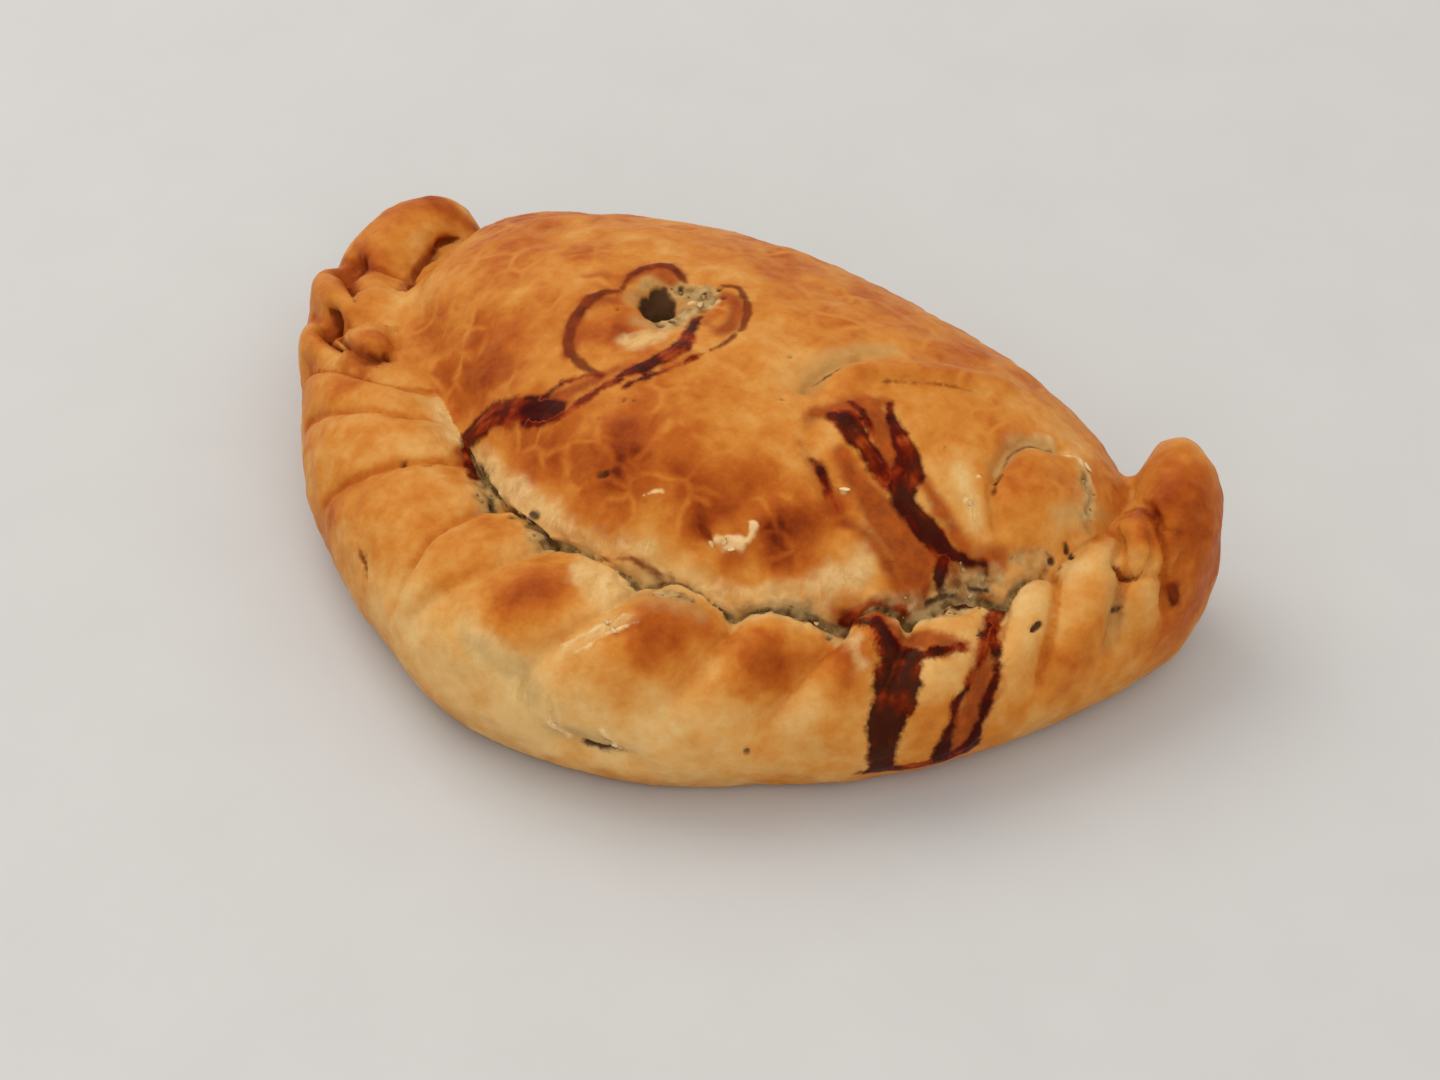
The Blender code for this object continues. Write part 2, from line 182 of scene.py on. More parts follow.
# Lines on the crimp: half width, height, then points as length along it and angle round it.
CRIMP_MARKS = [
    ("hollow in the first fold", 3.6, -4.5, [(32, 60), (34, 70), (42, 84)]),
    ("slit in that hollow", 0.9, -1.1, [(31, 80), (32.5, 67), (40, 76), (48, 84)]),
    ("hollow in the second fold", 2.6, -4, [(49, 54), (54, 58), (61, 60)]),
    ("slit in that one", 0.9, -1.2, [(47, 54), (52, 56), (60, 58)]),
    ("curled knob", 3.6, 1.9, [(60, 92), (66, 88)]),
    ("crease round the knob", 1, -2,
     [(53, 70), (62, 70), (66, 74), (68.6, 81), (70.3, 90), (69.3, 99)]),
    ("crease behind the knob", 1, -1.4, [(57, 99), (61, 105), (66, 106), (70, 100)]),
    ("crevice beside the ear", 1.2, -1.6, [(5, 133), (10, 139), (21, 139), (33, 137), (44, 126)]),
    ("torn base", 2.4, -1.6, [(160, -8), (169, -10)]),
    ("knob before the horn", 3.6, 1.6, [(265, 75), (270, 104)]),
    ("crease round that knob", 0.9, -1.6,
     [(268, 117), (261.2, 91), (259.1, 80), (258.8, 67), (260.1, 58), (262.5, 56), (265.2, 60),
      (267.3, 68), (269.9, 79)]),
    ("smaller bump beside it", 2.2, 0.9, [(269.5, 56), (272, 66)]),
    ("crease below the bump", 0.8, -1, [(263, 52), (266, 44), (269, 40), (272, 44)]),
    ("crease above the knob", 0.9, -1.2, [(282, 140), (276, 94), (273.7, 76), (274.5, 58)]),
    ("crease below the knob", 0.9, -0.9, [(259, 64), (255, 45), (253.4, 31), (252.5, 22)]),
    ("split beside the sixth fold", 0.8, -0.8, [(114, 28), (116, 17)]),
]

# What lies on the crust or has broken it, as strokes of a brush; the darkness of stain, juice, dull and
# hole strokes that lie in creases, hollows and pits is painted shade. On the loaf the points of a
# stroke are x and y from above and half its width there. A stroke of one point is a spot.
LOAF_LAYERS = {
    "gravy": [
        [(-33.5, -21, 1.3), (-34.5, -17, 1.8), (-33.5, -14.8, 2.1), (-31.4, -13.5, 2.2),
         (-29, -12.9, 2), (-26, -12.7, 1.9), (-22.6, -12.9, 2), (-19.6, -12.4, 2.3),
         (-16.6, -12.6, 2.5), (-14.4, -12.3, 2)],
        [(-20, -11.7, 0.9), (-18.6, -9.7, 0.8), (-18, -8, 0.7), (-16.8, -6.3, 0.6), (-14.8, -5.2, 0.5),
         (-13.1, -4.2, 0.5), (-10.3, -3.8, 0.5)],
        [(-19.3, -14.7, 0.8), (-15.8, -14.5, 1), (-13.8, -13.6, 1.1), (-12.4, -12.3, 1),
         (-11, -10.4, 1), (-9.7, -8.8, 1), (-8.6, -6.3, 0.8), (-7.2, -4.6, 0.7), (-5.9, -3.4, 1)],
        [(-6.2, -2.9, 1.2), (-3.9, -0.4, 1.6), (-2.2, 2.5, 1.4), (-1, 5.4, 1.6), (-0.5, 7.9, 1.8),
         (-1.2, 11, 1.6), (-2.4, 14.5, 1.2), (-3.5, 17.9, 1), (-3, 19.3, 0.5)],
        [(-4.4, -4.6, 0.6), (-1.6, -2.1, 0.5), (0.8, 0.9, 0.4), (2.6, 4.9, 0.4), (3.8, 9.2, 0.3)],
        [(31.5, 8.8, 1), (34.4, 9.4, 2.6), (37.6, 7.8, 2.2), (40.3, 7.2, 1.8), (43.6, 5.9, 2),
         (46.4, 4.6, 1.8)], [(33.1, 13.5, 0.5), (36.1, 12.8, 0.6), (38, 11.8, 0.8), (40.5, 9.9, 0.9)],
        [(38.6, 18.3, 0.6), (41.6, 14.8, 1.3), (45, 12.7, 1.9), (47.4, 10.8, 2.3), (48.8, 7.9, 3),
         (49.5, 4.7, 2.8), (51.4, 2.5, 2.2), (53.8, 1.8, 2), (56.7, 1.3, 2.1), (59.3, 1.2, 2.2),
         (62, 1.1, 1.6), (65.3, 2.4, 0.7), (67.6, 4.6, 0.4)], [(61.8, 0.4, 1.3), (62.5, -3, 1)],
        [(33.5, -0.5, 0.4), (36.1, -1.6, 0.7), (38.2, -2.9, 0.8), (40.6, -4.7, 0.8), (42.6, -5.8, 0.5)],
        [(47.3, -22.4, 0.2), (49.5, -20.5, 0.6), (52.6, -18, 0.9), (54.8, -15.6, 0.9), (57, -13.4, 0.6),
         (60, -10, 0.3)],
    ],
    "stain_and_hollow_shade": [
        [(-16.3, -10, 2), (-12.9, -7, 1.8), (-10, -4.3, 1.8), (-8.5, -1.6, 1.4)],
        [(-17, 26, 1.4), (-14, 25.5, 1.6)],
        [(-21.4, 16, 1), (-23.6, 11, 1.6), (-23.4, 6, 1.5), (-20.2, -0.2, 1)],
        [(-21.2, 20, 0.8), (-20.6, 25.3, 1.3), (-16.9, 28.8, 1.6), (-13.4, 27.8, 1.3)],
        [(-22.3, 13.4, 1), (-19.5, 14.1, 0.8)],
        [(-2, 26.6, 1.4), (1.3, 25, 1.6), (3.4, 19, 1.6), (2, 16.3, 1.2)],
        [(-1.4, 17.8, 1), (0.5, 17.2, 1)], [(-29.1, 18.3, 0.9), (-26.2, 20.2, 0.8)],
        [(29.1, 7.5, 1.4), (33.5, 12.9, 2), (38, 18.2, 1.4)],
        [(33, 11, 2.4), (38, 13.5, 3), (43, 11.5, 3.2), (46, 8, 2.8), (47, 4, 2.4)],
        [(52.5, 8.1, 1), (56.9, 6.2, 1.4), (61.1, 4.6, 1.6), (63.7, 3.5, 1.2)],
        [(38, 3, 1.4), (42, 0.6, 2.2), (47, -1, 3), (53, -2.4, 3.8), (57.8, -4.6, 3.8), (60.8, -8, 3)],
        [(53.5, -3, 1.6), (57.7, -4.9, 2), (59.4, -7.8, 1.6)],
        [(44.6, -7, 0.8), (50.2, -6.8, 1.4), (54.1, -7.8, 1.6), (58.3, -9.4, 1.8)],
        [(65.5, 2.8, 1.6), (69.1, 7.3, 1.2)], [(60, 0, 1.6), (66, -1, 2), (69, 2, 1.4)],
        [(30, 0.8, 0.6), (36.5, -2.2, 1.2), (41.6, -5.2, 1.6)],
        [(50.1, -18.8, 0.8), (55.5, -14.5, 1.4), (59.4, -10.9, 1.6)],
        # Painted shade in the fold from the pit beside the ear.
        [(-75.5, 24, 1), (-73.5, 18, 1.4), (-73.5, 14, 1)],
    ],
    "juice_and_crease_shade": [
        [(-20.6, 17, 0.5), (-22.2, 15.3, 0.9), (-23.6, 12.6, 1.3), (-23.9, 9, 1.2), (-23.6, 5.9, 1),
         (-22.2, 2.4, 0.9), (-20.2, -0.2, 0.8), (-17.1, -1.5, 0.7), (-13.3, -3, 0.7),
         (-10.3, -3.8, 0.7)],
        [(-20.4, 17.9, 0.3), (-21.4, 22.2, 0.6), (-20.7, 25.3, 0.8), (-19.5, 28, 0.9), (-16.9, 29.3, 1),
         (-13.9, 28.2, 0.9), (-12, 27, 0.5)],
        [(-5, 29.1, 0.3), (-1.9, 30, 0.6), (1.7, 27.1, 0.8), (4.5, 23.5, 0.7), (5.8, 19.5, 0.6),
         (5.7, 15.1, 0.4), (4.2, 10.5, 0.3)],
        # Painted shade lines: the first below is in the crease round the right bulge, the third in the
        # fold from the ear's pit, and the last under the ledge on the right shoulder.
        [(65, 33, 0), (61.6, 29, 0.2), (60.6, 25, 0.3), (61.2, 20, 0.2), (62.6, 16, 0.3)],
        [(0, -31, 0), (7, -31.3, 0.2), (13, -30.8, 0.2), (19, -29.9, 0.2), (23, -30, 0.3)],
        [(-76.5, 25, 0.5), (-74, 18.5, 0.6), (-74, 15.6, 0.3), (-73.4, 10.5, 0.1)],
        [(26, -22.8, 0.5), (23.9, -22.2, 0.6)], [(34, 22, 0), (40, 27, 0.15), (49, 33.6, 0.1)],
    ],
    "crumb": [
        [(-17.3, 19.6, 0.6), (-17.6, 22.4, 0.8)],
        [(-12.6, 24.2, 0.9), (-9.9, 25.2, 1.7), (-7, 26.3, 2), (-4.5, 24.3, 1.8), (-4.9, 20.9, 1.5),
         (-7.2, 18.6, 1.6), (-6.2, 15.2, 1.6), (-7.5, 12.8, 1.4), (-10.4, 14.4, 1.2)],
        [(-24.8, -21.4, 0.7), (-20.1, -26.4, 1), (-16.8, -29, 0.8)],
        [(34.4, -28.2, 0.6), (39.9, -26.8, 0.6), (43.6, -23, 0.8), (46.2, -21, 0.8)],
        [(55.9, -14.2, 0.6), (59.7, -11, 1.2), (62.9, -8, 1.3), (66.5, -5, 1.3), (68.2, 0.8, 1.2)],
        [(63.8, -2.9, 1.4), (66.7, 0.8, 1.4), (70.2, 5.6, 0.8)], [(71.9, 9.1, 1), (75.3, 13.3, 0.8)],
        [(71.5, 33.6, 0.3), (75.4, 29.5, 0.5), (77.4, 24.5, 0.6)],
    ],
    "dull_and_crease_shade": [
        # The first two are painted shade, in the dimple's crease and in the crease round the right
        # bulge.
        [(24, 12.5, 1.6), (23.1, 17, 2.2), (24.7, 21.9, 2.8), (26.8, 27, 2.6), (31, 31, 1.8)],
        [(60, 20.5, 0.8), (60.4, 25, 1.4), (61.3, 29.1, 1.8), (64, 33, 1)],
        [(74, 20, 1), (76.5, 25, 1.6), (78.6, 29.6, 1.6)],
        [(10, -31, 0.8), (16.8, -31.6, 1.4), (21, -31, 1.2)],
        [(-17.5, 17.5, 1.5), (-17.5, 22.5, 2), (-13, 25.5, 2), (-7.5, 22, 3.2), (-7.5, 17, 2.8),
         (-9.5, 13, 2.4), (-12, 12, 1.4)],
    ],
    "bready": [
        [(-32, -17, 0.6), (-25.8, -19.8, 1.5), (-21.4, -22.8, 2), (-14, -26, 2.6), (-6.5, -27.8, 2.2),
         (-1.6, -29.6, 1.4), (3.9, -30.2, 1), (10.8, -29.4, 1), (17.2, -28.8, 1)],
        [(-10.6, 5.6, 1.6), (-8.2, 7, 2.2), (-6.2, 9.3, 2), (-5.4, 12.4, 1)],
        [(56.2, 14.7, 1.6), (60.4, 10.9, 1.6), (63.4, 8.2, 1.6)],
        [(60.4, 21, 0.4), (60.8, 27, 0.7), (64, 32.6, 0.9), (69, 35.2, 1.1), (74, 31.6, 1),
         (77, 26, 0.9)],
        [(51.5, -9.5, 1.6), (50, -13.6, 2.3), (46.5, -18, 2), (42.5, -21.6, 1.2), (35, -26, 0.8),
         (27, -29, 0.8)],
    ],
    "pale": [
        [(27.4, -22.4, 0.7), (29.2, -22, 1.3), (31.4, -21, 1.3), (32.6, -19.8, 0.5), (32, -17.4, 0.8)],
        [(12, -22.4, 0.3), (14.4, -20.8, 0.4)], [(-7.7, 22.2, 0.5), (-5.3, 23, 0.9), (-3.2, 24.3, 0.9)],
        [(67.8, 33.5, 0.3), (69.7, 35, 0.5), (72.1, 34.3, 0.3), (73.7, 32.6, 0.3)], [(41.9, -2.7, 0.6)],
        # The spot at 37.6, 8.3 lies on the gravy's right head and is a painted highlight.
        [(37.6, 8.3, 0.5)], [(59.3, 16, 0.4)], [(60, 10.6, 0.4)],
    ],
    "hole_and_pit_shade": [
        # Near black: painted shade inside the vent and in small pits and creases.
        [(-15.3, 20.2, 1.3), (-14.8, 22, 1.8), (-12.6, 20.6, 2.2), (-10.9, 18.2, 1.9)],
        [(-15.8, 19.6, 1.2), (-14.6, 17.2, 1.4), (-12, 15.2, 1.2)], [(-13.4, 18.6, 1.6)],
        [(-11.7, 25.2, 0.5)], [(-4.9, 28, 0.6)], [(-2.4, 25.9, 0.5)], [(-17.7, 12.3, 0.3)],
        [(22, 7.4, 0.5)], [(17.6, 17.7, 0.3)],
        [(24.1, 15.6, 0.3), (25.5, 18.5, 0.4), (26.5, 21.1, 0.2)], [(61.9, 18, 0.5), (61.7, 20.5, 0.3)],
        [(61.8, 25, 0.2)], [(76.9, 18, 0.6)], [(75.9, 14.4, 0.6)],
        [(1.1, -21.7, 0.4), (2.5, -20.9, 0.6)], [(-5.3, -12.2, 0.4)], [(-2.4, -7.6, 0.3)],
        [(-0.7, -7.2, 0.3)], [(-74, 36, 0.4), (-70.5, 30.5, 0.4)], [(-73, 18.1, 0.6)],
        [(62, -6.8, 0.5), (63.9, -4.2, 0.7), (65.6, -2.2, 0.5)], [(67, 0.2, 0.4), (69.2, 2.4, 0.6)],
        [(-9.2, -28.6, 0.6), (-7.6, -28.8, 0.5)], [(-27.6, -22.6, 0.5)],
        [(24, -30.2, 0.5), (27, -30, 0.4)],
    ],
}
# The same on the crimp, with points as length along it, angle round it and half the width.
CRIMP_LAYERS = {
    "gravy": [
        [(110, 118, 0.8), (104, 125, 1.1), (99, 130, 1.2), (96, 132, 1.2)],
        [(196, 100, 0.3), (203, 104, 0.9), (207, 106, 1.2), (211, 106, 1.4), (218, 109, 0.7)],
        [(206, 101, 0.5), (209, 92, 0.9), (211, 89, 1.2)],
        [(210.5, 92, 1.8), (212, 80, 2.6), (213.5, 63, 3.8), (212.5, 48, 3.8), (212, 35, 3.4),
         (210.5, 20, 3.1), (210, 4, 2.4), (210, -10, 2.4), (210, -27, 1.8)],
        [(217, 62, 0.8), (220, 66, 0.9), (223, 64, 0.8), (224, 62, 0.6)],
        [(240, 112, 0.8), (236, 104, 1.5), (232, 86, 1.2), (230.5, 70, 0.9), (229.8, 50, 0.7),
         (228, 35, 0.7), (226.4, 23, 0.8), (225.4, 9, 0.8), (224.4, -7, 1), (222, -24, 1.6)],
        [(233, 92, 0.5), (228.5, 70, 0.8), (226.4, 50, 0.6), (223.6, 35, 0.6), (221.4, 23, 0.9),
         (220.4, 9, 0.8), (219.6, -7, 0.9), (219, -24, 1.6)],
        [(224, 103, 0.4), (230, 105, 0.9), (236, 108, 1.2), (241, 113, 0.7)],
        [(206, -26, 0.6), (210, -27, 1.4), (214, -27, 1.4), (218, -28, 1.8), (221, -27, 1.8),
         (223, -24, 1.4), (225, -13, 0.8)],
    ],
    "stain_and_hollow_shade": [
        [(202, 103, 0.8), (210, 97, 1.6), (216, 108, 1.2)],
        [(231, 80, 1.6), (228, 60, 2.2), (226, 35, 3), (224, 15, 3.4), (222, -8, 3.2), (221, -24, 2.6)],
        [(214, 87, 2.6), (219, 73, 2.4), (224, 66, 1.6)], [(112, 116, 1), (101, 126, 1.8)],
        # The next four are painted shade: in the hollows of the first two folds, round the curled knob
        # and in the crevice beside the ear.
        [(31, 50, 1.6), (32, 62, 2.6), (35, 72, 2.8), (40, 80, 2)],
        [(48, 50, 1.6), (52, 56, 2), (59, 58, 1.4)],
        [(61, 68, 0.8), (66, 74, 1.4), (70, 86, 1.6), (71, 98, 1.6)],
        [(6, 130, 0.8), (10, 137, 1.2), (21, 138, 1.4), (33, 136, 1.4), (43, 128, 1.4)],
        [(267, 32, 1.6), (266, 20, 1.8)],
    ],
    "juice_and_crease_shade": [
        # All but the pair at 266, a dark spot of juice, are painted shade lines: in the crevice beside
        # the ear, the slits in the first two folds, the creases round both knobs and the split beside
        # the sixth fold.
        [(4.5, 130, 0.5), (6.5, 135, 1.1), (10, 139, 0.7), (21, 139, 0.3), (33, 137, 0.4),
         (40, 131, 0.3)], [(30.5, 76, 0.5), (32, 67, 1), (34, 68, 0.7), (42, 77, 0.6), (49, 84, 0.3)],
        [(46.5, 52, 0.8), (50, 54, 0.8), (56, 56, 0.5), (62, 60, 0.2)], [(53, 70, 0.5), (63, 71, 0.3)],
        [(68.5, 84, 0.2), (70, 92, 0.7), (69, 99, 0.6)],
        [(259.2, 82, 0.1), (258.8, 67, 0.4), (260.1, 58, 0.3), (263, 57, 0)],
        [(266.8, 30, 1), (266, 20, 1.1)], [(111.5, 29, 0.1), (114, 25, 0.35), (116.5, 17, 0.2)],
    ],
    "crumb": [
        [(110, 125, 0.8), (118, 115, 1.4), (121, 113, 0.8)],
        [(132, 119, 0.8), (138, 119, 1.6), (143, 119, 1.3)], [(169, 107, 0.4), (175, 103, 0.5)],
        [(183, 108, 0.6), (189, 103, 0.6), (196, 105, 0.8)],
        [(213, 107, 0.6), (217, 106, 1.3), (220, 104, 1.3), (225, 100, 1.2), (232, 104, 1.2)],
        [(242, 113, 1), (247, 117, 0.8)],
    ],
    "dull_and_crease_shade": [
        [(112, 118, 1.6), (120, 110, 1.6)], [(136, 116, 1.6), (144, 115, 1.8)],
        # The stroke that starts here is painted shade along the creases round the knob before the horn.
        [(264, 116, 1), (259, 96, 1.4), (256.5, 70, 1.2), (255, 48, 1.8), (253.5, 33, 2),
         (252, 22, 1.6)], [(143, 38, 1.5), (149, 33, 2.4), (154, 24, 2.4)],
        [(164, 106, 1.8), (171, 104, 2.2), (177, 98, 1.4)], [(159, -3, 2), (166, -2, 2.4)],
    ],
    "bready": [
        [(85, 124, 2.6), (95, 124, 2)], [(252, 112, 1.2), (254, 90, 1)],
        [(208, 109, 1.2), (200, 108, 2), (193, 105, 2), (186, 104, 1.4)],
        [(142, 44, 1.8), (147, 34, 3), (152, 22, 3), (158, 12, 2.6)],
        [(157, 50, 1), (161, 66, 1.5), (166, 84, 1.4)], [(160, 102, 2.4), (152, 108, 2)],
        [(203, 93, 1.2), (206, 78, 1.4), (207, 60, 1.4)],
    ],
    "pale": [
        [(157, 54, 0.2), (161, 68, 0.35), (166, 86, 0.3)],
        [(160, 52, 0.2), (164, 66, 0.3), (168, 80, 0.2)], [(158, 4, 0.5), (160, -6, 0.8)],
        [(166, 8, 0.4), (168, -4, 0.5)],
    ],
    "hole_and_pit_shade": [
        # Near black: painted shade in small pits of the crimp.
        [(101, 83, 0.7)], [(104, 94, 0.3), (104.5, 99, 0.4)], [(186, 1, 0.4)], [(126, 116, 0.4)],
        [(238, 62, 0.5), (240, 66, 0.6)], [(255, 45, 0.7)], [(108, 122, 0.4), (110, 125, 0.6)],
        [(116, 121, 0.4), (121, 114, 0.7)], [(129, 121, 0.6), (131, 119, 0.5)],
        [(228, 72, 0.5), (229, 76, 0.5)], [(212, 92, 0.5)], [(202, 92, 0.4), (203, 96, 0.3)],
        [(254, 117, 0.6)], [(251, 117, 0.6)], [(163, -9, 0.8), (168, -10, 0.7)],
    ],
}
# How ragged each layer's edge is, in millimetres, and the size of the rags.
LAYER_EDGES = {
    "gravy": (0.6, 2.8),
    "stain_and_hollow_shade": (1.4, 4.0),
    "juice_and_crease_shade": (0.40, 1.8),
    "crumb": (1.3, 2.2),
    "dull_and_crease_shade": (1.4, 4.0),
    "bready": (1.6, 4.0),
    "pale": (0.5, 1.6),
    "hole_and_pit_shade": (0.45, 1.2),
}

# How each layer stands out from the crust: the depths at which it starts and is full, its height,
# and its lumps. Lumps are noise: the amount, the size, both in millimetres, and the seed.
LAYER_RELIEF = {
    "gravy": (-0.2, 1.6, 0.22, []),
    "juice_and_crease_shade": (-0.4, 0.6, 0.12, []),
    "crumb": (-0.5, 1.0, -0.4, [(0.7, 3.0, 41), (0.35, 1.4, 42)]),
    "pale": (-0.3, 0.5, 0.45, [(0.35, 1.8, 43)]),
    "hole_and_pit_shade": (-0.5, 1.2, -1.3, []),
}
BROAD_LUMPS = [(0.55, 15.0, 1), (0.38, 6.0, 2)]
FINE_LUMPS = [(0.19, 2.6, 3), (0.08, 1.2, 4)]

# The creases between folds: half width, depth, how much deeper they get between two lengths near
# the horn, and the angles between which they start and end.
CREASE_WIDTH = 0.9
CREASE_DEPTH = 0.55
CREASE_DEEPENING = 0.40
DEEPER_CREASES = (230.0, 240.0)
CREASE_LOW_ANGLES = (5.0, 35.0)
CREASE_HIGH_ANGLES = (118.0, 135.0)

# The open seam: the directions from the loaf's middle, in degrees, between which it starts and ends,
# its depth, and how wide it gapes at places along X, how much that varies and the least that it is.
SEAM_START = (-142.0, -133.0)
SEAM_END = (-8.0, 4.0)
SEAM_DEPTH = 1.7
SEAM_PLACES = [-38, -30, -18, -8, 0, 8, 20, 30, 38, 48, 58, 66, 73, 79]
SEAM_WIDTHS = [0.4, 1.2, 1.1, 0.9, 1.1, 0.5, 0.9, 0.7, 0.5, 0.8, 1.2, 1.4, 1.0, 0.7]
SEAM_WIDTH_LUMPS = [(0.55, 4.5, 5)]
LEAST_SEAM_WIDTH = 0.35
# The torn dough along the seam: how far it reaches to either side, and its lumps.
TORN_REACH = 4.5
TORN_LUMPS = [(0.8, 5.0, 8), (0.7, 2.4, 6), (0.35, 1.2, 7)]

# How brown the crust is baked, from 0 to 1: on the loaf, on the crimp, its mottles, the painted shade
# that darkens the creases between the crimp's folds, and how much paler it is along the open seam and
# how far from it.
LOAF_BROWNNESS = 0.45
CRIMP_BROWNNESS = 0.38
BROWN_MOTTLES = [(0.12, 13.0, 31), (0.10, 5.0, 32), (0.05, 2.0, 33)]
CREASE_SHADE = 0.22
SEAM_PALENESS = 0.25
PALE_REACH = 3.5
# The lengths along the crimp between which its creases fade out of the painted shade and come back.
PLAIN_CREASES_START = (118.0, 135.0)
PLAIN_CREASES_END = (225.0, 240.0)
# Browner and paler fields of the loaf: x, y, radius, how much browner (above 0) or paler.
LOAF_TOAST = [
    (3, -16, 6, 0.44), (5, -21, 4, 0.22), (-12, -18, 7, 0.3), (-20, -12, 5, 0.24), (16, -18, 5, 0.32),
    (24, -16, 5, 0.22), (23, -22, 3, 0.36), (27, -16, 4, 0.24), (39, -13, 6, 0.34), (36, -18, 4, 0.38),
    (31, -23, 3, 0.24), (43, -7, 4, 0.2), (10, -22, 4, 0.18), (30, -9, 5, 0.14), (13, -9, 3, 0.12),
    (20, -3, 6, -0.16), (33, -3, 5, -0.12), (10, -28, 6, 0.04), (20, -27, 4, -0.06), (26, -8, 5, 0.16),
    (-56, 7, 6, 0.2), (-44, -1, 7, 0.18), (-34, -7, 6, 0.2), (-38, -4, 5, 0.06), (-50, 14, 6, 0.1),
    (-43, 9, 5, 0.02), (-30, 10, 5, 0.06), (-60, 0, 6, -0.14), (-33, 28, 6, 0.2), (-48, 26, 8, 0.12),
    (-3, 42, 8, 0.14), (-17, 66, 10, 0.2), (-45, 48, 10, 0.1), (16, 48, 8, 0.12), (40, 46, 7, 0.14),
    (52, 44, 6, 0.12), (-60, 36, 10, 0.1), (30, 34, 7, -0.08), (46, 21, 8, -0.04), (9, 21, 7, -0.16),
    (19, 12, 6, -0.16), (57, 12, 6, -0.22), (64, 7, 5, -0.18), (71, 20, 6, -0.06), (73, 27, 4, 0.08),
    (66, 19, 4, 0.08), (68, 11, 4, -0.16), (-17, 6, 4, 0.02), (-11, 2, 3, -0.02), (-24, 2, 8, 0.12),
    (-15, 8, 6, 0.22), (-3, 20, 6, 0.16), (-20, 16, 5, 0.16), (-37, 3, 6, 0.12), (60, 36, 8, -0.1),
    (50, -11, 6, -0.22), (40, -23, 5, -0.12), (78, 36, 8, 0.1), (77, 24, 4, -0.2),
]
# The same for the crimp: length, angle, radius in millimetres, amount.
CRIMP_TOAST = [
    (8, 95, 8, 0.26), (2, 100, 4, 0.22), (14, 70, 8, 0.26), (20, 110, 7, -0.06), (33, 64, 6, 0.22),
    (52, 55, 5, 0.22), (67, 88, 5, 0.1), (61, 40, 5, -0.08), (58, 12, 7, 0.1), (75, 72, 3, 0.2),
    (84, 100, 9, -0.08), (80, 45, 12, 0.04), (100, 92, 9, -0.16), (98, 50, 10, 0.1), (105, 70, 5, 0.1),
    (112, 64, 6, 0.04), (118, 92, 7, -0.12), (122, 10, 12, -0.14), (128, 96, 6, 0.1),
    (140, 88, 7, 0.08), (150, 82, 7, 0.42), (148, 60, 6, 0.14), (160, 100, 6, -0.12),
    (172, 76, 7, 0.44), (178, 92, 4, 0.16), (189, 62, 7, 0.5), (204, 66, 7, 0.38), (200, 98, 5, -0.18),
    (163, 14, 16, -0.26), (192, 12, 15, -0.22), (148, 34, 9, -0.22), (180, 66, 4, -0.18),
    (198, 48, 4, -0.16), (219, 45, 4, -0.16), (240, 84, 9, -0.18), (246, 60, 6, 0.04),
    (242, 30, 8, 0.08), (232, 14, 6, -0.04), (256, 92, 7, -0.16), (262, 90, 4, 0.04), (266, 84, 3, 0.1),
    (272, 62, 5, 0.14), (284, 70, 13, 0.17), (279, 32, 11, 0.22), (271, 4, 9, 0.25), (262, 2, 6, 0.12),
    (285, 112, 12, 0.15), (277, 120, 6, 0.14), (261, 32, 5, -0.16), (255, 12, 7, 0.1),
    (134, 14, 12, -0.2), (152, -10, 10, -0.22), (24, 106, 9, 0.1), (45, 75, 9, 0.12),
]
# A lighter cracked pattern over the browned crust: how far apart its lines are, how much they wander
# and how much paler they are.
VEIN_SPACING = 9.0
VEIN_WANDER = 9.0
VEIN_PALENESS = 0.19
VEIN_WIDTH = 0.13
# The coarse mottles, and the brownness, between which the lines begin and are full.
VEIN_PATCHES = (0.44, 0.62)
VEIN_BROWNNESS = (0.35, 0.65)

# The crust's colours from pale to dark.
CRUST_COLOURS = [
    (0.0, (0.70, 0.44, 0.17)),
    (0.22, (0.63, 0.315, 0.084)),
    (0.42, (0.55, 0.198, 0.029)),
    (0.62, (0.43, 0.104, 0.012)),
    (0.82, (0.29, 0.050, 0.006)),
    (1.0, (0.13, 0.015, 0.003)),
]
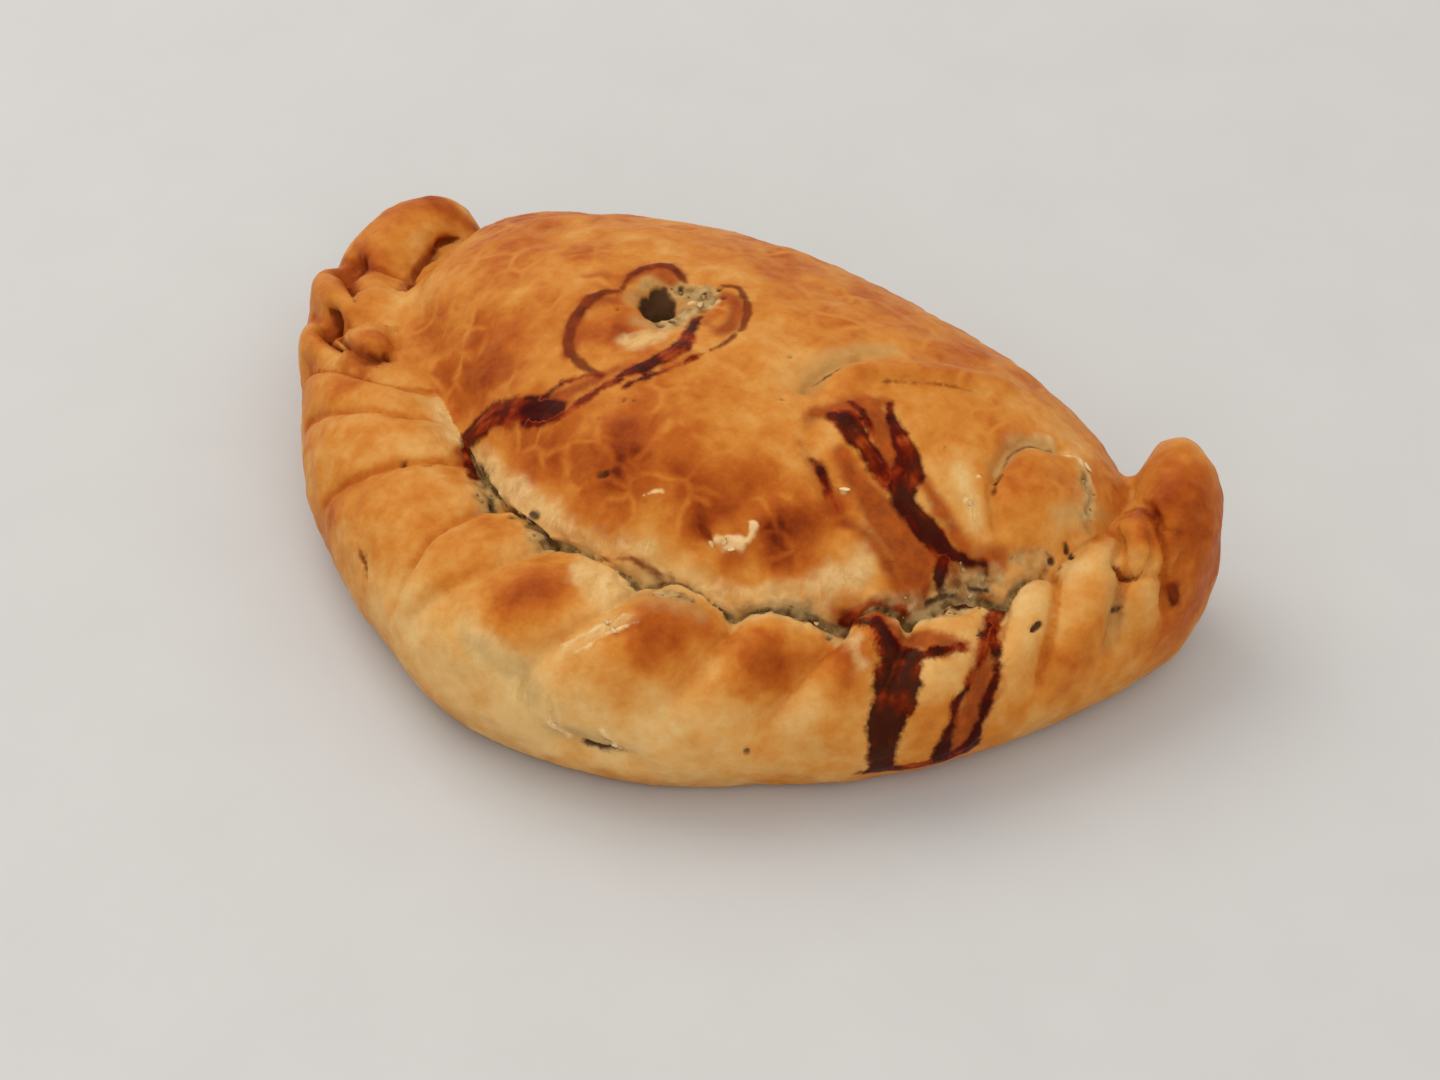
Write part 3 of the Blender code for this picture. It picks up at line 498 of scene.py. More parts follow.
# Each layer's depth at which it starts to show and is full, how ragged its edge is in the material, how
# much it covers, and its colours; in creases, hollows and pits the dark tones of stain, juice, dull and
# hole strokes are painted shade. The gravy's follow the streaks of its flow, whose lighter ones are
# partly painted highlights.
LAYER_COLOURS = {
    "bready": (-1.4, 1.8, 4.0, 0.76, [(0.32, (0.56, 0.33, 0.105)), (0.66, (0.75, 0.51, 0.225))]),
    "dull_and_crease_shade": (-1.8, 2.0, 2.4, 0.55, [(0.35, (0.34, 0.205, 0.068)), (0.65, (0.54, 0.34, 0.125))]),
    "pale": (-0.3, 0.4, 1.0, 0.85, [(0.3, (0.66, 0.42, 0.17)), (0.6, (0.80, 0.56, 0.28))]),
    "stain_and_hollow_shade": (-1.4, 1.4, 2.4, 0.92, [(0.3, (0.19, 0.024, 0.004)), (0.7, (0.40, 0.080, 0.010))]),
    "crumb": (-1.4, 1.4, 3.0, 0.86, [(0.34, (0.13, 0.066, 0.021)), (0.50, (0.36, 0.235, 0.093)),
                                     (0.68, (0.55, 0.39, 0.18))]),
    "juice_and_crease_shade": (-0.5, 0.4, 1.4, 0.88, [(0.3, (0.065, 0.006, 0.001)), (0.7, (0.20, 0.026, 0.004))]),
    "gravy": (-0.7, 0.5, 2.4, 0.97, [(0.36, (0.030, 0.001, 0.002)), (0.48, (0.085, 0.003, 0.001)),
                                     (0.58, (0.19, 0.014, 0.002)), (0.74, (0.36, 0.060, 0.010))]),
    # The near-black of holes and pits is painted shade.
    "hole_and_pit_shade": (-0.4, 0.5, 1.2, 0.94, [(0.3, (0.016, 0.007, 0.004)), (0.7, (0.060, 0.028, 0.016))]),
}
# Streaks and fibres: their length and width in millimetres, how much they wander, and the detail and
# the roughness of their noise. The gravy's lighter streaks are partly its own runs and partly painted
# highlights on its gloss.
GRAVY_STREAKS_AND_HIGHLIGHTS = (5.0, 2.4, 0.0, 2.0, 0.45)
TORN_FIBRES = (4.0, 1.7, 5.0, 4.0, 0.65)
# How much darker the gravy is for each millimetre of depth.
GRAVY_DARKENING = 0.060
# The crust's mottling: how many of its lumps fill a metre, its detail and how much it browns.
MOTTLES = {"coarse": (95.0, 4.0, 0.50), "medium": (300.0, 5.0, 0.34), "fine": (900.0, 4.0, 0.10)}
MOTTLE_ROUGHNESS = 0.6
CLOTS = (380.0, 2.0, 0.5)
CRACK_COLOURS = [(0.36, (0.085, 0.038, 0.011)), (0.50, (0.23, 0.14, 0.050)), (0.66, (0.42, 0.28, 0.115))]
CRACK_SHOWN = (0.35, 0.8)
CRACK_COVER = 0.9
# How rough the crust is, how much its mottles and its torn places add, and how rough gravy is.
CRUST_ROUGHNESS = 0.30
MOTTLED_ROUGHNESS = 0.25
TORN_ROUGHNESS = 0.3
GRAVY_ROUGHNESS = 0.34
# How much the mottles rise, as shares of the bumps' height in metres.
MEDIUM_RISE = 0.7
FINE_RISE = 0.3
BUMP_HEIGHT = 0.0010

# Loose crumbs and flakes: their numbers, their least and greatest half sizes in millimetres, how they
# are tilted and bent, their tones, and their colours from dark to pale.
CRUMBS = 70
CRUMB_SIZES = (0.15, 0.55)
CRUMB_SHAPES = ((0.8, 0.7, 0.4), (1.4, 1.1, 0.7))
CRUMB_TILT = 0.6
CRUMB_TONES = (0.5, 0.22)
FLAKES = 26
FLAKE_SIZES = ((0.5, 0.3, 0.05), (1.1, 0.6, 0.08))
FLAKE_TILT = 0.15
FLAKE_BENDS = (-0.1, 0.3)
FLAKE_TONES = (0.45, 1.0)
CRUMB_COLOURS = [
    (0.0, (0.12, 0.055, 0.020)),
    (0.4, (0.26, 0.15, 0.055)),
    (1.0, (0.44, 0.29, 0.13)),
]
FLAKE_COLOURS = [
    (0.2, (0.54, 0.28, 0.09)),
    (1.0, (0.78, 0.54, 0.27)),
]

# The sides of a chip of dough and how uneven it is.
CHIP_RINGS = 4
CHIP_SEGMENTS = 7
CHIP_UNEVENNESS = 0.38

# The floor, in metres, and the lights: where each is, its size in metres, its power and its colour.
FLOOR_HALF_WIDTH = 2.0
FLOOR_GAP = 0.0003
FLOOR_COLOUR = (0.54, 0.53, 0.515)
LIGHTS = {
    "window": ((-0.9, 0.2, 1.3), 1.2, 11.0, (1.0, 0.985, 0.96)),
    "fill": ((0.9, -0.9, 1.0), 1.2, 6.0, (1.0, 0.99, 0.98)),
}
ROOM_COLOUR = (1.0, 0.985, 0.955, 1.0)
ROOM_BRIGHTNESS = 0.78

# The camera that took the photograph, in millimetres in the drawing frame.
CAMERA_AT = (297.4, -437.2, 470.7)
CAMERA_AIM = (3.5, 15.4, 0.0)
CAMERA_LENS = 91.5
CAMERA_SENSOR = 36.0


def spline(points, count, closed):
    """Points spread along a smooth curve that passes through the given ones."""
    given = np.asarray(points, float)
    if not closed:
        before = 2 * given[0] - given[1]
        after = 2 * given[-1] - given[-2]
        given = np.vstack([before, given, after])
    size = len(given)
    runs = size if closed else size - 3
    start = 0 if closed else 1
    place = np.linspace(0, runs, count, endpoint=not closed)
    whole = np.minimum(place.astype(int), runs - 1)
    part = (place - whole)[:, None]
    a, b, c, d = (given[(whole + start + step) % size] for step in (-1, 0, 1, 2))
    return 0.5 * (2 * b + (c - a) * part + (2 * a - 5 * b + 4 * c - d) * part ** 2
                  + (3 * b - a - 3 * c + d) * part ** 3)


def smooth_step(low, high, value):
    """0 below low, 1 above high, and a soft rise between them."""
    share = np.clip((value - low) / (high - low), 0.0, 1.0)
    return share * share * (3.0 - 2.0 * share)


def stroke_course(points, stroke):
    """How deep inside a stroke each point is, how far along it and how far from its line."""
    course = np.tile([-np.inf, 0.0, 0.0], (len(points), 1))
    before = 0.0
    for first, last in zip(stroke, stroke[1:] or stroke):
        first = np.asarray(first, float)
        run = np.asarray(last, float) - first
        flat = run[:2]
        share = np.clip((points - first[:2]) @ flat / max(flat @ flat, 1e-9), 0.0, 1.0)
        gap = np.linalg.norm(points - first[:2] - share[:, None] * flat, axis=1)
        depth = first[2] + share * run[2] - gap
        length = np.hypot(*flat)
        here = np.column_stack([depth, before + share * length, gap])
        course = np.where(depth[:, None] > course[:, :1], here, course)
        before += length
    return course


def add_marks(total, flat, marks):
    """Adds rounded ridges, or grooves where the height is below 0, along lines."""
    for _, half_width, height, line in marks:
        course = stroke_course(flat, [(*point, 0.0) for point in line])
        total += height * np.exp(-(course[:, 0] / half_width) ** 2)
    return total


def add_spots(total, flat, spots):
    """Adds round fields, each with its middle, its radius and its amount there."""
    for x, y, radius, amount in spots:
        gap = np.hypot(flat[:, 0] - x, flat[:, 1] - y)
        total += amount * np.exp(-(gap / radius) ** 2)
    return total


def noise(points, size, seed):
    """Smooth noise from -1 to 1 whose lumps are about the given size in millimetres."""
    table = np.random.default_rng(seed).uniform(-1.0, 1.0, 4096)
    place = points / size
    corner = np.floor(place).astype(np.int64)
    part = place - corner
    part = part * part * (3.0 - 2.0 * part)
    total = np.zeros(len(points))
    for step in np.ndindex(2, 2, 2):
        cell = corner + np.array(step)
        key = (cell[:, 0] * 73856093) ^ (cell[:, 1] * 19349663) ^ (cell[:, 2] * 83492791)
        weight = np.where(np.array(step) == 1, part, 1.0 - part).prod(axis=1)
        total += table[key % 4096] * weight
    return total


def uneven(points, lumps):
    """Noise of several sizes together, each with its amount, its size and its seed."""
    return sum(amount * noise(points, size, seed) for amount, size, seed in lumps)


def loaf_radius(turn):
    """The outline's distance from the loaf's centre in the direction of each turn."""
    curve = spline(LOAF_OUTLINE, 2000, closed=True) - np.array(LOAF_CENTRE)
    angle = np.arctan2(curve[:, 1], curve[:, 0]) % math.tau
    order = np.argsort(angle)
    radius = np.hypot(curve[:, 0], curve[:, 1])
    return np.interp(turn % math.tau, angle[order], radius[order], period=math.tau)


def loaf_profile(down):
    """The share of the outline's radius, and the height, at each share of the way down."""
    quarter = np.linspace(0.0, math.pi / 2, 400)
    over_share = np.sin(quarter) ** (2 / LOAF_SHOULDER)
    over_height = LOAF_WIDEST_AT + (LOAF_HEIGHT - LOAF_WIDEST_AT) * np.cos(quarter)
    under_share = 1.0 - LOAF_UNDERCUT * (1.0 - np.cos(quarter))
    under_height = LOAF_WIDEST_AT - LOAF_WIDEST_AT * np.sin(quarter)
    share = np.concatenate([over_share, under_share[1:], [0.0]])
    height = np.concatenate([over_height, under_height[1:], [0.0]])
    mean_radius = loaf_radius(np.linspace(0, math.tau, 100)).mean()
    steps = np.hypot(np.diff(share) * mean_radius, np.diff(height))
    way = np.concatenate([[0.0], np.cumsum(steps)])
    place = down * way[-1]
    return np.interp(place, way, share), np.interp(place, way, height)


def loaf_points(turn, down):
    """The loaf's smooth form. Its rings close in on the vent."""
    share, height = loaf_profile(down)
    centre = np.array(LOAF_CENTRE)
    radius = share * loaf_radius(turn)
    flat = radius[:, None] * np.column_stack([np.cos(turn), np.sin(turn)])
    above = height > LOAF_WIDEST_AT
    pull = np.where(above, (1.0 - share) ** 2, 0.0)
    flat += pull[:, None] * (np.array(VENT) - centre)
    moved = np.hypot(flat[:, 0], flat[:, 1]) / loaf_radius(np.arctan2(flat[:, 1], flat[:, 0]))
    rise = np.sqrt(np.clip(1.0 - moved ** LOAF_SHOULDER, 0.0, 1.0))
    height = np.where(above, LOAF_WIDEST_AT + (LOAF_HEIGHT - LOAF_WIDEST_AT) * rise, height)
    return np.column_stack([flat + centre, height])


def crimp_course():
    """The crimp's stations close together, and the length along it at each of them."""
    fine = spline(CRIMP_STATIONS, 3000, closed=False)
    steps = np.linalg.norm(np.diff(fine[:, :3], axis=0), axis=1)
    return fine, np.concatenate([[0.0], np.cumsum(steps)])


def fold_starts():
    """Each fold's low and high length, with the end of the crimp last."""
    length = crimp_course()[1][-1]
    return [(low, high) for low, high, _, _ in FOLDS] + [(length, length)]


def fold_rings():
    """Which fold each ring of the crimp lies in, and what share of the fold is behind it."""
    starts = fold_starts()
    fold = []
    share = []
    for number, (start, end) in enumerate(zip(starts[:-1], starts[1:])):
        width = (sum(end) - sum(start)) / 2
        count = max(5, round(width / CRIMP_RING_SPACING))
        for step in range(count):
            fold.append(number)
            share.append(0.5 - 0.5 * math.cos(math.pi * step / count))
    fold.append(len(FOLDS) - 1)
    share.append(1.0)
    return np.array(fold), np.array(share)


def crimp_places(fold, share, angle):
    """The length along the crimp at a share of a fold, which leans with the angle round it."""
    starts = np.array(fold_starts(), float)
    lean = np.interp(angle, LEAN_ANGLES, LEAN_SHARES)
    first = starts[fold, 0] + (starts[fold, 1] - starts[fold, 0]) * lean
    last = starts[fold + 1, 0] + (starts[fold + 1, 1] - starts[fold + 1, 0]) * lean
    return first + (last - first) * share


def crimp_section(turn, rounding):
    """A section through the crimp: an oval above, squarer below and reaching under the loaf."""
    out = np.cos(turn)
    up = np.sin(turn)
    power = np.where(up < 0, 2.0 / CRIMP_LOWER_SQUARENESS, 1.0)
    out = np.sign(out) * np.abs(out) ** power
    up = np.sign(up) * np.abs(up) ** power
    under_loaf = (out < 0) & (up < 0)
    reach = 1.0 + (CRIMP_INNER_REACH - 1.0) * smooth_step(0.9, 1.0, rounding) * np.clip(-4 * up, 0, 1)
    return np.where(under_loaf, out * reach, out), up


def fold_relief(fold, share, angle):
    """How far the crimp's folds stand out, each a little steeper at its start than at its end."""
    height = np.array([entry[2] for entry in FOLDS])[fold]
    slackness = np.array([entry[3] for entry in FOLDS])[fold]
    ridge = np.sin(math.pi * np.clip(share, 0.0, 1.0) ** 0.85) ** slackness
    shown = smooth_step(-10.0, 45.0, angle) * np.clip((170.0 - angle) / 65.0, 0.0, 1.0)
    return height * (ridge - 0.7) * shown


def crimp_points(turn, place, relief):
    """The crimp's surface, thickened everywhere by its relief."""
    fine, way = crimp_course()
    stations = np.column_stack([np.interp(place, way, fine[:, column]) for column in range(6)])
    forward = np.gradient(fine[:, :3], way, axis=0)
    forward = np.column_stack([np.interp(place, way, forward[:, axis]) for axis in range(3)])
    forward /= np.linalg.norm(forward, axis=1)[:, None]
    outward = np.cross(forward, [0.0, 0.0, 1.0])
    outward /= np.linalg.norm(outward, axis=1)[:, None]
    upward = np.cross(outward, forward)
    from_end = np.minimum(place, way[-1] - place) / CRIMP_END_ROUNDING
    rounding = np.sqrt(np.clip(1.0 - (1.0 - np.clip(from_end, 0, 1)) ** 2, 0.0, 1.0))
    out, up = crimp_section(turn, rounding)
    half_width = np.where((out < 0) & (up > 0), stations[:, 4], stations[:, 3])
    out = ((half_width + relief) * rounding * out)[:, None] * outward
    up = ((stations[:, 5] + relief) * rounding * up)[:, None] * upward
    return stations[:, :3] + out + up


def skin_faces(rings, segments):
    """Faces of a closed skin: a first point, rings of points and a last point."""
    faces = []
    last = 1 + rings * segments
    for step in range(segments):
        beside = (step + 1) % segments
        faces.append((0, 1 + step, 1 + beside))
        faces.append((last, last - segments + beside, last - segments + step))
    for ring in range(rings - 1):
        start = 1 + ring * segments
        for step in range(segments):
            beside = (step + 1) % segments
            faces.append((start + step, start + segments + step,
                          start + segments + beside, start + beside))
    return faces


def skin_grid(rings, segments):
    """The ring number and turn of each point of a closed skin."""
    ring = np.concatenate([[0], np.repeat(np.arange(1, rings + 1), segments), [rings + 1]])
    turn = np.concatenate([[0.0], np.tile(np.arange(segments) * math.tau / segments, rings), [0.0]])
    return ring, turn


def loaf_skin():
    """The loaf's points and faces."""
    ring, turn = skin_grid(LOAF_RINGS, LOAF_SEGMENTS)
    points = loaf_points(turn, ring / (LOAF_RINGS + 1))
    return points, skin_faces(LOAF_RINGS, LOAF_SEGMENTS)


def crimp_skin():
    """The crimp's points and faces, and the length along it and angle round it at each point."""
    ring_fold, ring_share = fold_rings()
    rings = len(ring_fold) - 2
    ring, turn = skin_grid(rings, CRIMP_SEGMENTS)
    angle = (np.degrees(turn) + 90.0) % 360.0 - 90.0
    place = crimp_places(ring_fold[ring], ring_share[ring], angle)
    relief = fold_relief(ring_fold[ring], ring_share[ring], angle)
    points = crimp_points(turn, place, relief)
    points[:, 2] = np.maximum(points[:, 2], 0.0)
    return points, skin_faces(rings, CRIMP_SEGMENTS), place, angle


def ball_skin(rings, segments):
    """The points and faces of a ball with a radius of 1."""
    ring, turn = skin_grid(rings, segments)
    down = ring / (rings + 1) * math.pi
    points = np.column_stack([np.sin(down) * np.cos(turn), np.sin(down) * np.sin(turn), np.cos(down)])
    return points, skin_faces(rings, segments)


def web_skin():
    """The dough that bridges the loaf and the crimp at the left, where no seam has opened."""
    points, faces = ball_skin(WEB_RINGS, WEB_SEGMENTS)
    cosine = math.cos(WEB_TURN)
    sine = math.sin(WEB_TURN)
    turning = np.array([[cosine, sine, 0.0], [-sine, cosine, 0.0], [0.0, 0.0, 1.0]])
    return (points * WEB_HALF_SIZES) @ turning + WEB_MIDDLE, faces


def new_mesh(name, points, faces):
    mesh = bpy.data.meshes.new(name)
    mesh.from_pydata(np.asarray(points).tolist(), [], faces)
    mesh.update()
    return mesh


def numbers(entries, key, width):
    """One property of all the entries of a mesh's list, as rows of numbers."""
    values = np.zeros(len(entries) * width, np.float32)
    entries.foreach_get(key, values)
    return values.reshape(-1, width).astype(float)


def mesh_points(mesh):
    return numbers(mesh.vertices, "co", 3)


def mesh_normals(mesh):
    return numbers(mesh.vertex_normals, "vector", 3)


def set_points(mesh, points):
    mesh.vertices.foreach_set("co", np.asarray(points, np.float32).ravel())
    mesh.update()


def new_piece(name, data):
    """A new object in the scene."""
    piece = bpy.data.objects.new(name, data)
    bpy.context.scene.collection.objects.link(piece)
    return piece


def evaluated(mesh, name, kind, **settings):
    """The mesh after one modifier with these settings."""
    piece = new_piece(name, mesh)
    modifier = piece.modifiers.new(name, kind)
    for key, value in settings.items():
        setattr(modifier, key, value)
    bpy.context.view_layer.update()
    depsgraph = bpy.context.evaluated_depsgraph_get()
    result = bpy.data.meshes.new_from_object(piece.evaluated_get(depsgraph))
    bpy.data.objects.remove(piece, do_unlink=True)
    return result


def one_surface(skins):
    """Remeshes closed skins that cross each other into one surface."""
    points = np.vstack([skin[0] for skin in skins])
    faces = []
    before = 0
    for skin in skins:
        faces += [tuple(corner + before for corner in face) for face in skin[1]]
        before += len(skin[0])
    joined = new_mesh("joined", points, faces)
    return evaluated(joined, "remesh", "REMESH", mode="VOXEL", voxel_size=VOXEL)


def nearest_on(skin, fields, queries):
    """How far each query is from a skin, and the skin's fields there."""
    points, faces = skin
    tree = BVHTree.FromPolygons(points.tolist(), faces)
    corners = np.array([face if len(face) == 4 else (*face, face[2]) for face in faces])
    found = [tree.find_nearest(query) for query in queries.tolist()]
    face = np.array([hit[2] for hit in found])
    spot = np.array([hit[0] for hit in found])
    gap = np.array([hit[3] for hit in found])
    near = corners[face]
    weight = 1.0 / (np.linalg.norm(points[near] - spot[:, None], axis=2) + 1e-3)
    weight /= weight.sum(axis=1)[:, None]
    return gap, [(field[near] * weight).sum(axis=1) for field in fields]


def neighbour_mean(mesh, values, rounds, amount):
    """Smooths values given at the points over the mesh's edges, by an amount at each point."""
    edges = np.zeros(len(mesh.edges) * 2, np.int64)
    mesh.edges.foreach_get("vertices", edges)
    first, last = edges.reshape(-1, 2).T
    count = np.bincount(np.concatenate([first, last]), minlength=len(values))
    values = np.array(values, float)
    for _ in range(rounds):
        total = np.zeros_like(values)
        for axis in range(values.shape[1]):
            total[:, axis] = (np.bincount(first, values[last, axis], len(values))
                              + np.bincount(last, values[first, axis], len(values)))
        mean = total / np.maximum(count, 1)[:, None]
        values += (mean - values) * amount[:, None]
    return values


def seam_share(points):
    """1 along the stretch where the seam between loaf and crimp has torn open, 0 away from it."""
    turn = np.degrees(np.arctan2(points[:, 1] - LOAF_CENTRE[1], points[:, 0] - LOAF_CENTRE[0]))
    return smooth_step(*SEAM_START, turn) * (1.0 - smooth_step(*SEAM_END, turn))


def crust_fields(points, crimp, loaf):
    """What each point of the crust lies on and how near it is to the seam."""
    to_crimp, (place, angle) = nearest_on(crimp[:2], crimp[2:], points)
    to_loaf, _ = nearest_on(loaf, [], points)
    on_crimp = smooth_step(-BORDER_SOFTNESS, BORDER_SOFTNESS, to_loaf - to_crimp)
    seam = np.maximum(to_crimp, to_loaf)
    return {"place": place, "angle": angle, "on_crimp": on_crimp, "seam": seam}


def unrolled(fields):
    """Each point's place on the crimp rolled out flat, in millimetres."""
    return np.column_stack([fields["place"], fields["angle"] * MILLIMETRES_A_DEGREE])


def rolled_out(rows):
    """Rows that start with a length along the crimp and an angle round it, the angle in millimetres."""
    return [(place, angle * MILLIMETRES_A_DEGREE, *rest) for place, angle, *rest in rows]


def deepest_course(points, strokes):
    """The course of the stroke that each point lies deepest in."""
    course = np.tile([FAR_OUTSIDE, 0.0, 0.0], (len(points), 1))
    for stroke in strokes:
        here = stroke_course(points, stroke)
        course = np.where(here[:, :1] > course[:, :1], here, course)
    return course


def layer_course(layer, points, fields):
    """How deep in a layer's strokes each point lies, how far along and how far from their lines."""
    on_loaf = deepest_course(points[:, :2], LOAF_LAYERS[layer])
    on_loaf[points[:, 2] <= LOAF_WIDEST_AT, 0] = FAR_OUTSIDE
    strokes = [rolled_out(stroke) for stroke in CRIMP_LAYERS[layer]]
    on_crimp = deepest_course(unrolled(fields), strokes)
    return np.where(fields["on_crimp"][:, None] > 0.5, on_crimp, on_loaf)


def layer_depth(layer, points, fields):
    """How far inside a layer's ragged edge each point is, in millimetres: below 0 outside it."""
    ragged, size = LAYER_EDGES[layer]
    seed = 100 + 10 * list(LAYER_EDGES).index(layer)
    rags = uneven(points, [(0.65, size, seed), (0.35, size / 2.3, seed + 1)])
    return layer_course(layer, points, fields)[:, 0] + ragged * rags


def nearest_crease(fields):
    """How far each point is, along the crimp, from the nearest crease between two folds."""
    starts = np.array(fold_starts(), float)
    lean = np.interp(fields["angle"], LEAN_ANGLES, LEAN_SHARES)[:, None]
    creases = starts[:, 0] + (starts[:, 1] - starts[:, 0]) * lean
    return np.abs(creases - fields["place"][:, None]).min(axis=1)


def seam_crack(points, fields):
    """1 in the middle of the open seam, 0 away from it."""
    width = np.interp(points[:, 0], SEAM_PLACES, SEAM_WIDTHS) * (1.0 + uneven(points, SEAM_WIDTH_LUMPS))
    return seam_share(points) * np.exp(-(fields["seam"] / np.maximum(width, LEAST_SEAM_WIDTH)) ** 2)


def loaf_relief(points):
    """How far the loaf's swellings and marks stand out or in."""
    flat = points[:, :2]
    return add_marks(add_spots(np.zeros(len(points)), flat, LOAF_SWELLINGS), flat, LOAF_MARKS)


def crimp_relief(points, fields):
    """How far the crimp's marks stand out and the creases between its folds stand in."""
    marks = [(*mark, rolled_out(line)) for *mark, line in CRIMP_MARKS]
    relief = add_marks(np.zeros(len(points)), unrolled(fields), marks)
    angle = fields["angle"]
    depth = smooth_step(*CREASE_LOW_ANGLES, angle) * (1.0 - smooth_step(*CREASE_HIGH_ANGLES, angle))
    depth *= CREASE_DEPTH + CREASE_DEEPENING * smooth_step(*DEEPER_CREASES, fields["place"])
    return relief - depth * np.exp(-(nearest_crease(fields) / CREASE_WIDTH) ** 2)


def crust_relief(points, fields):
    """How far the surface stands out or in at each of its points, in millimetres."""
    on_crimp = fields["on_crimp"]
    on_loaf = (1.0 - on_crimp) * smooth_step(2.0, 12.0, points[:, 2])
    relief = loaf_relief(points) * on_loaf + crimp_relief(points, fields) * on_crimp
    relief += uneven(points, BROAD_LUMPS)
    relief += uneven(points, FINE_LUMPS)
    torn = seam_share(points) * np.exp(-(fields["seam"] / TORN_REACH) ** 2)
    relief += torn * uneven(points, TORN_LUMPS)
    relief -= SEAM_DEPTH * seam_crack(points, fields)
    for layer, (low, high, height, lumps) in LAYER_RELIEF.items():
        shown = smooth_step(low, high, layer_depth(layer, points, fields))
        relief += shown * (uneven(points, lumps) + height)
    return relief * smooth_step(0.0, 2.0, points[:, 2])


def toast_and_crease_shade(points, fields):
    """How brown the crust is baked, from 0, pale, to 1, dark, with painted shade in the creases between
    the crimp's folds.
    """
    loaf = add_spots(np.full(len(points), LOAF_BROWNNESS), points[:, :2], LOAF_TOAST)
    crimp = np.full(len(points), CRIMP_BROWNNESS)
    crimp = add_spots(crimp, unrolled(fields), rolled_out(CRIMP_TOAST))
    plain = smooth_step(*PLAIN_CREASES_START, fields["place"])
    plain *= 1.0 - smooth_step(*PLAIN_CREASES_END, fields["place"])
    # Painted shade in the creases between the folds.
    crease_shade = np.exp(-nearest_crease(fields) ** 2) * smooth_step(0.0, 30.0, fields["angle"])
    crimp += CREASE_SHADE * (1.0 - plain) * crease_shade
    baked_and_shaded = loaf + (crimp - loaf) * fields["on_crimp"] + uneven(points, BROWN_MOTTLES)
    pale_seam = seam_share(points) * np.exp(-(fields["seam"] / PALE_REACH) ** 2)
    return np.clip(baked_and_shaded - SEAM_PALENESS * pale_seam, 0.0, 1.0)


def chip_shapes(sizes, bends, random):
    """Small uneven lumps with the given half sizes, each bent a little along its length."""
    ball, faces = ball_skin(CHIP_RINGS, CHIP_SEGMENTS)
    uneven_size = random.uniform(-CHIP_UNEVENNESS, CHIP_UNEVENNESS, (len(sizes), len(ball), 1))
    shapes = ball * (1.0 + uneven_size)
    shapes *= sizes[:, None, :]
    shapes[:, :, 2] += bends[:, None] * shapes[:, :, 0] ** 2
    return shapes, faces


def make_chips(name, at, normals, sizes, bends, tilt, tones, random):
    """A joined mesh of small pieces that lie on the crust, in millimetres in the drawing frame."""
    shapes, faces = chip_shapes(sizes, bends, random)
    up = normals + random.normal(0.0, tilt, normals.shape)
    up /= np.linalg.norm(up, axis=1)[:, None]
    along = np.cross(up, random.normal(size=up.shape))
    along /= np.linalg.norm(along, axis=1)[:, None]
    across = np.cross(up, along)
    axes = np.stack([along, across, up], axis=1)
    points = np.einsum("nvk,nkj->nvj", shapes, axes) + at[:, None, :]
    points[:, :, 2] = np.maximum(points[:, :, 2], 0.1)
    step = shapes.shape[1]
    all_faces = []
    for before in range(0, len(at) * step, step):
        all_faces += [tuple(corner + before for corner in face) for face in faces]
    mesh = new_mesh(name, to_row(points.reshape(-1, 3)), all_faces)
    store(mesh, "tone", np.repeat(tones, step))
    mesh.shade_smooth()
    return new_piece(name, mesh)


def drawn(weights, count, random):
    """Numbers of the points that are drawn at random, more often where their weight is high."""
    return random.choice(len(weights), count, replace=False, p=weights / weights.sum())


def make_crumbs(crust):
    """Crumbs of dough and filling in the torn seam and round the vent."""
    points, normals, layers = crust
    random = np.random.default_rng(51)
    weights = smooth_step(-0.8, 0.8, layers["crumb"]) + 0.9 * layers["crack"] ** 2
    weights *= points[:, 2] > 4.0
    weights *= 1.0 - 0.8 * smooth_step(-0.2, 0.8, layers["hole_and_pit_shade"])
    chosen = drawn(weights, CRUMBS, random)
    sizes = random.uniform(*CRUMB_SIZES, (CRUMBS, 1))
    sizes = sizes * random.uniform(*CRUMB_SHAPES, (CRUMBS, 3))
    at = points[chosen] + normals[chosen] * 0.15 * sizes[:, :1]
    tones = np.clip(random.normal(*CRUMB_TONES, CRUMBS), 0.0, 1.0)
    bends = np.zeros(CRUMBS)
    return make_chips("crumbs", at, normals[chosen], sizes, bends, CRUMB_TILT, tones, random)


def make_flakes(crust):
    """Thin curled flakes where the pastry has split into leaves."""
    points, normals, layers = crust
    random = np.random.default_rng(52)
    weights = smooth_step(-0.6, 0.6, layers["pale"]) + 0.10 * (layers["crack"] > 0.15)
    weights *= points[:, 2] > 2.0
    chosen = drawn(weights, FLAKES, random)
    sizes = random.uniform(*FLAKE_SIZES, (FLAKES, 3))
    at = points[chosen] + normals[chosen] * 0.12
    tones = random.uniform(*FLAKE_TONES, FLAKES)
    bends = random.uniform(*FLAKE_BENDS, FLAKES)
    return make_chips("flakes", at, normals[chosen], sizes, bends, FLAKE_TILT, tones, random)


def store(mesh, name, values):
    """Keeps one number for each point of the mesh, for the materials."""
    attribute = mesh.attributes.new(name, "FLOAT", "POINT")
    attribute.data.foreach_set("value", np.asarray(values, np.float32))


def to_row(points):
    """From the drawing frame in millimetres to the row frame in metres."""
    shift = np.array([*DRAWING_MIDDLE, 0.0])
    return (np.asarray(points, float) - shift) * MILLIMETRE


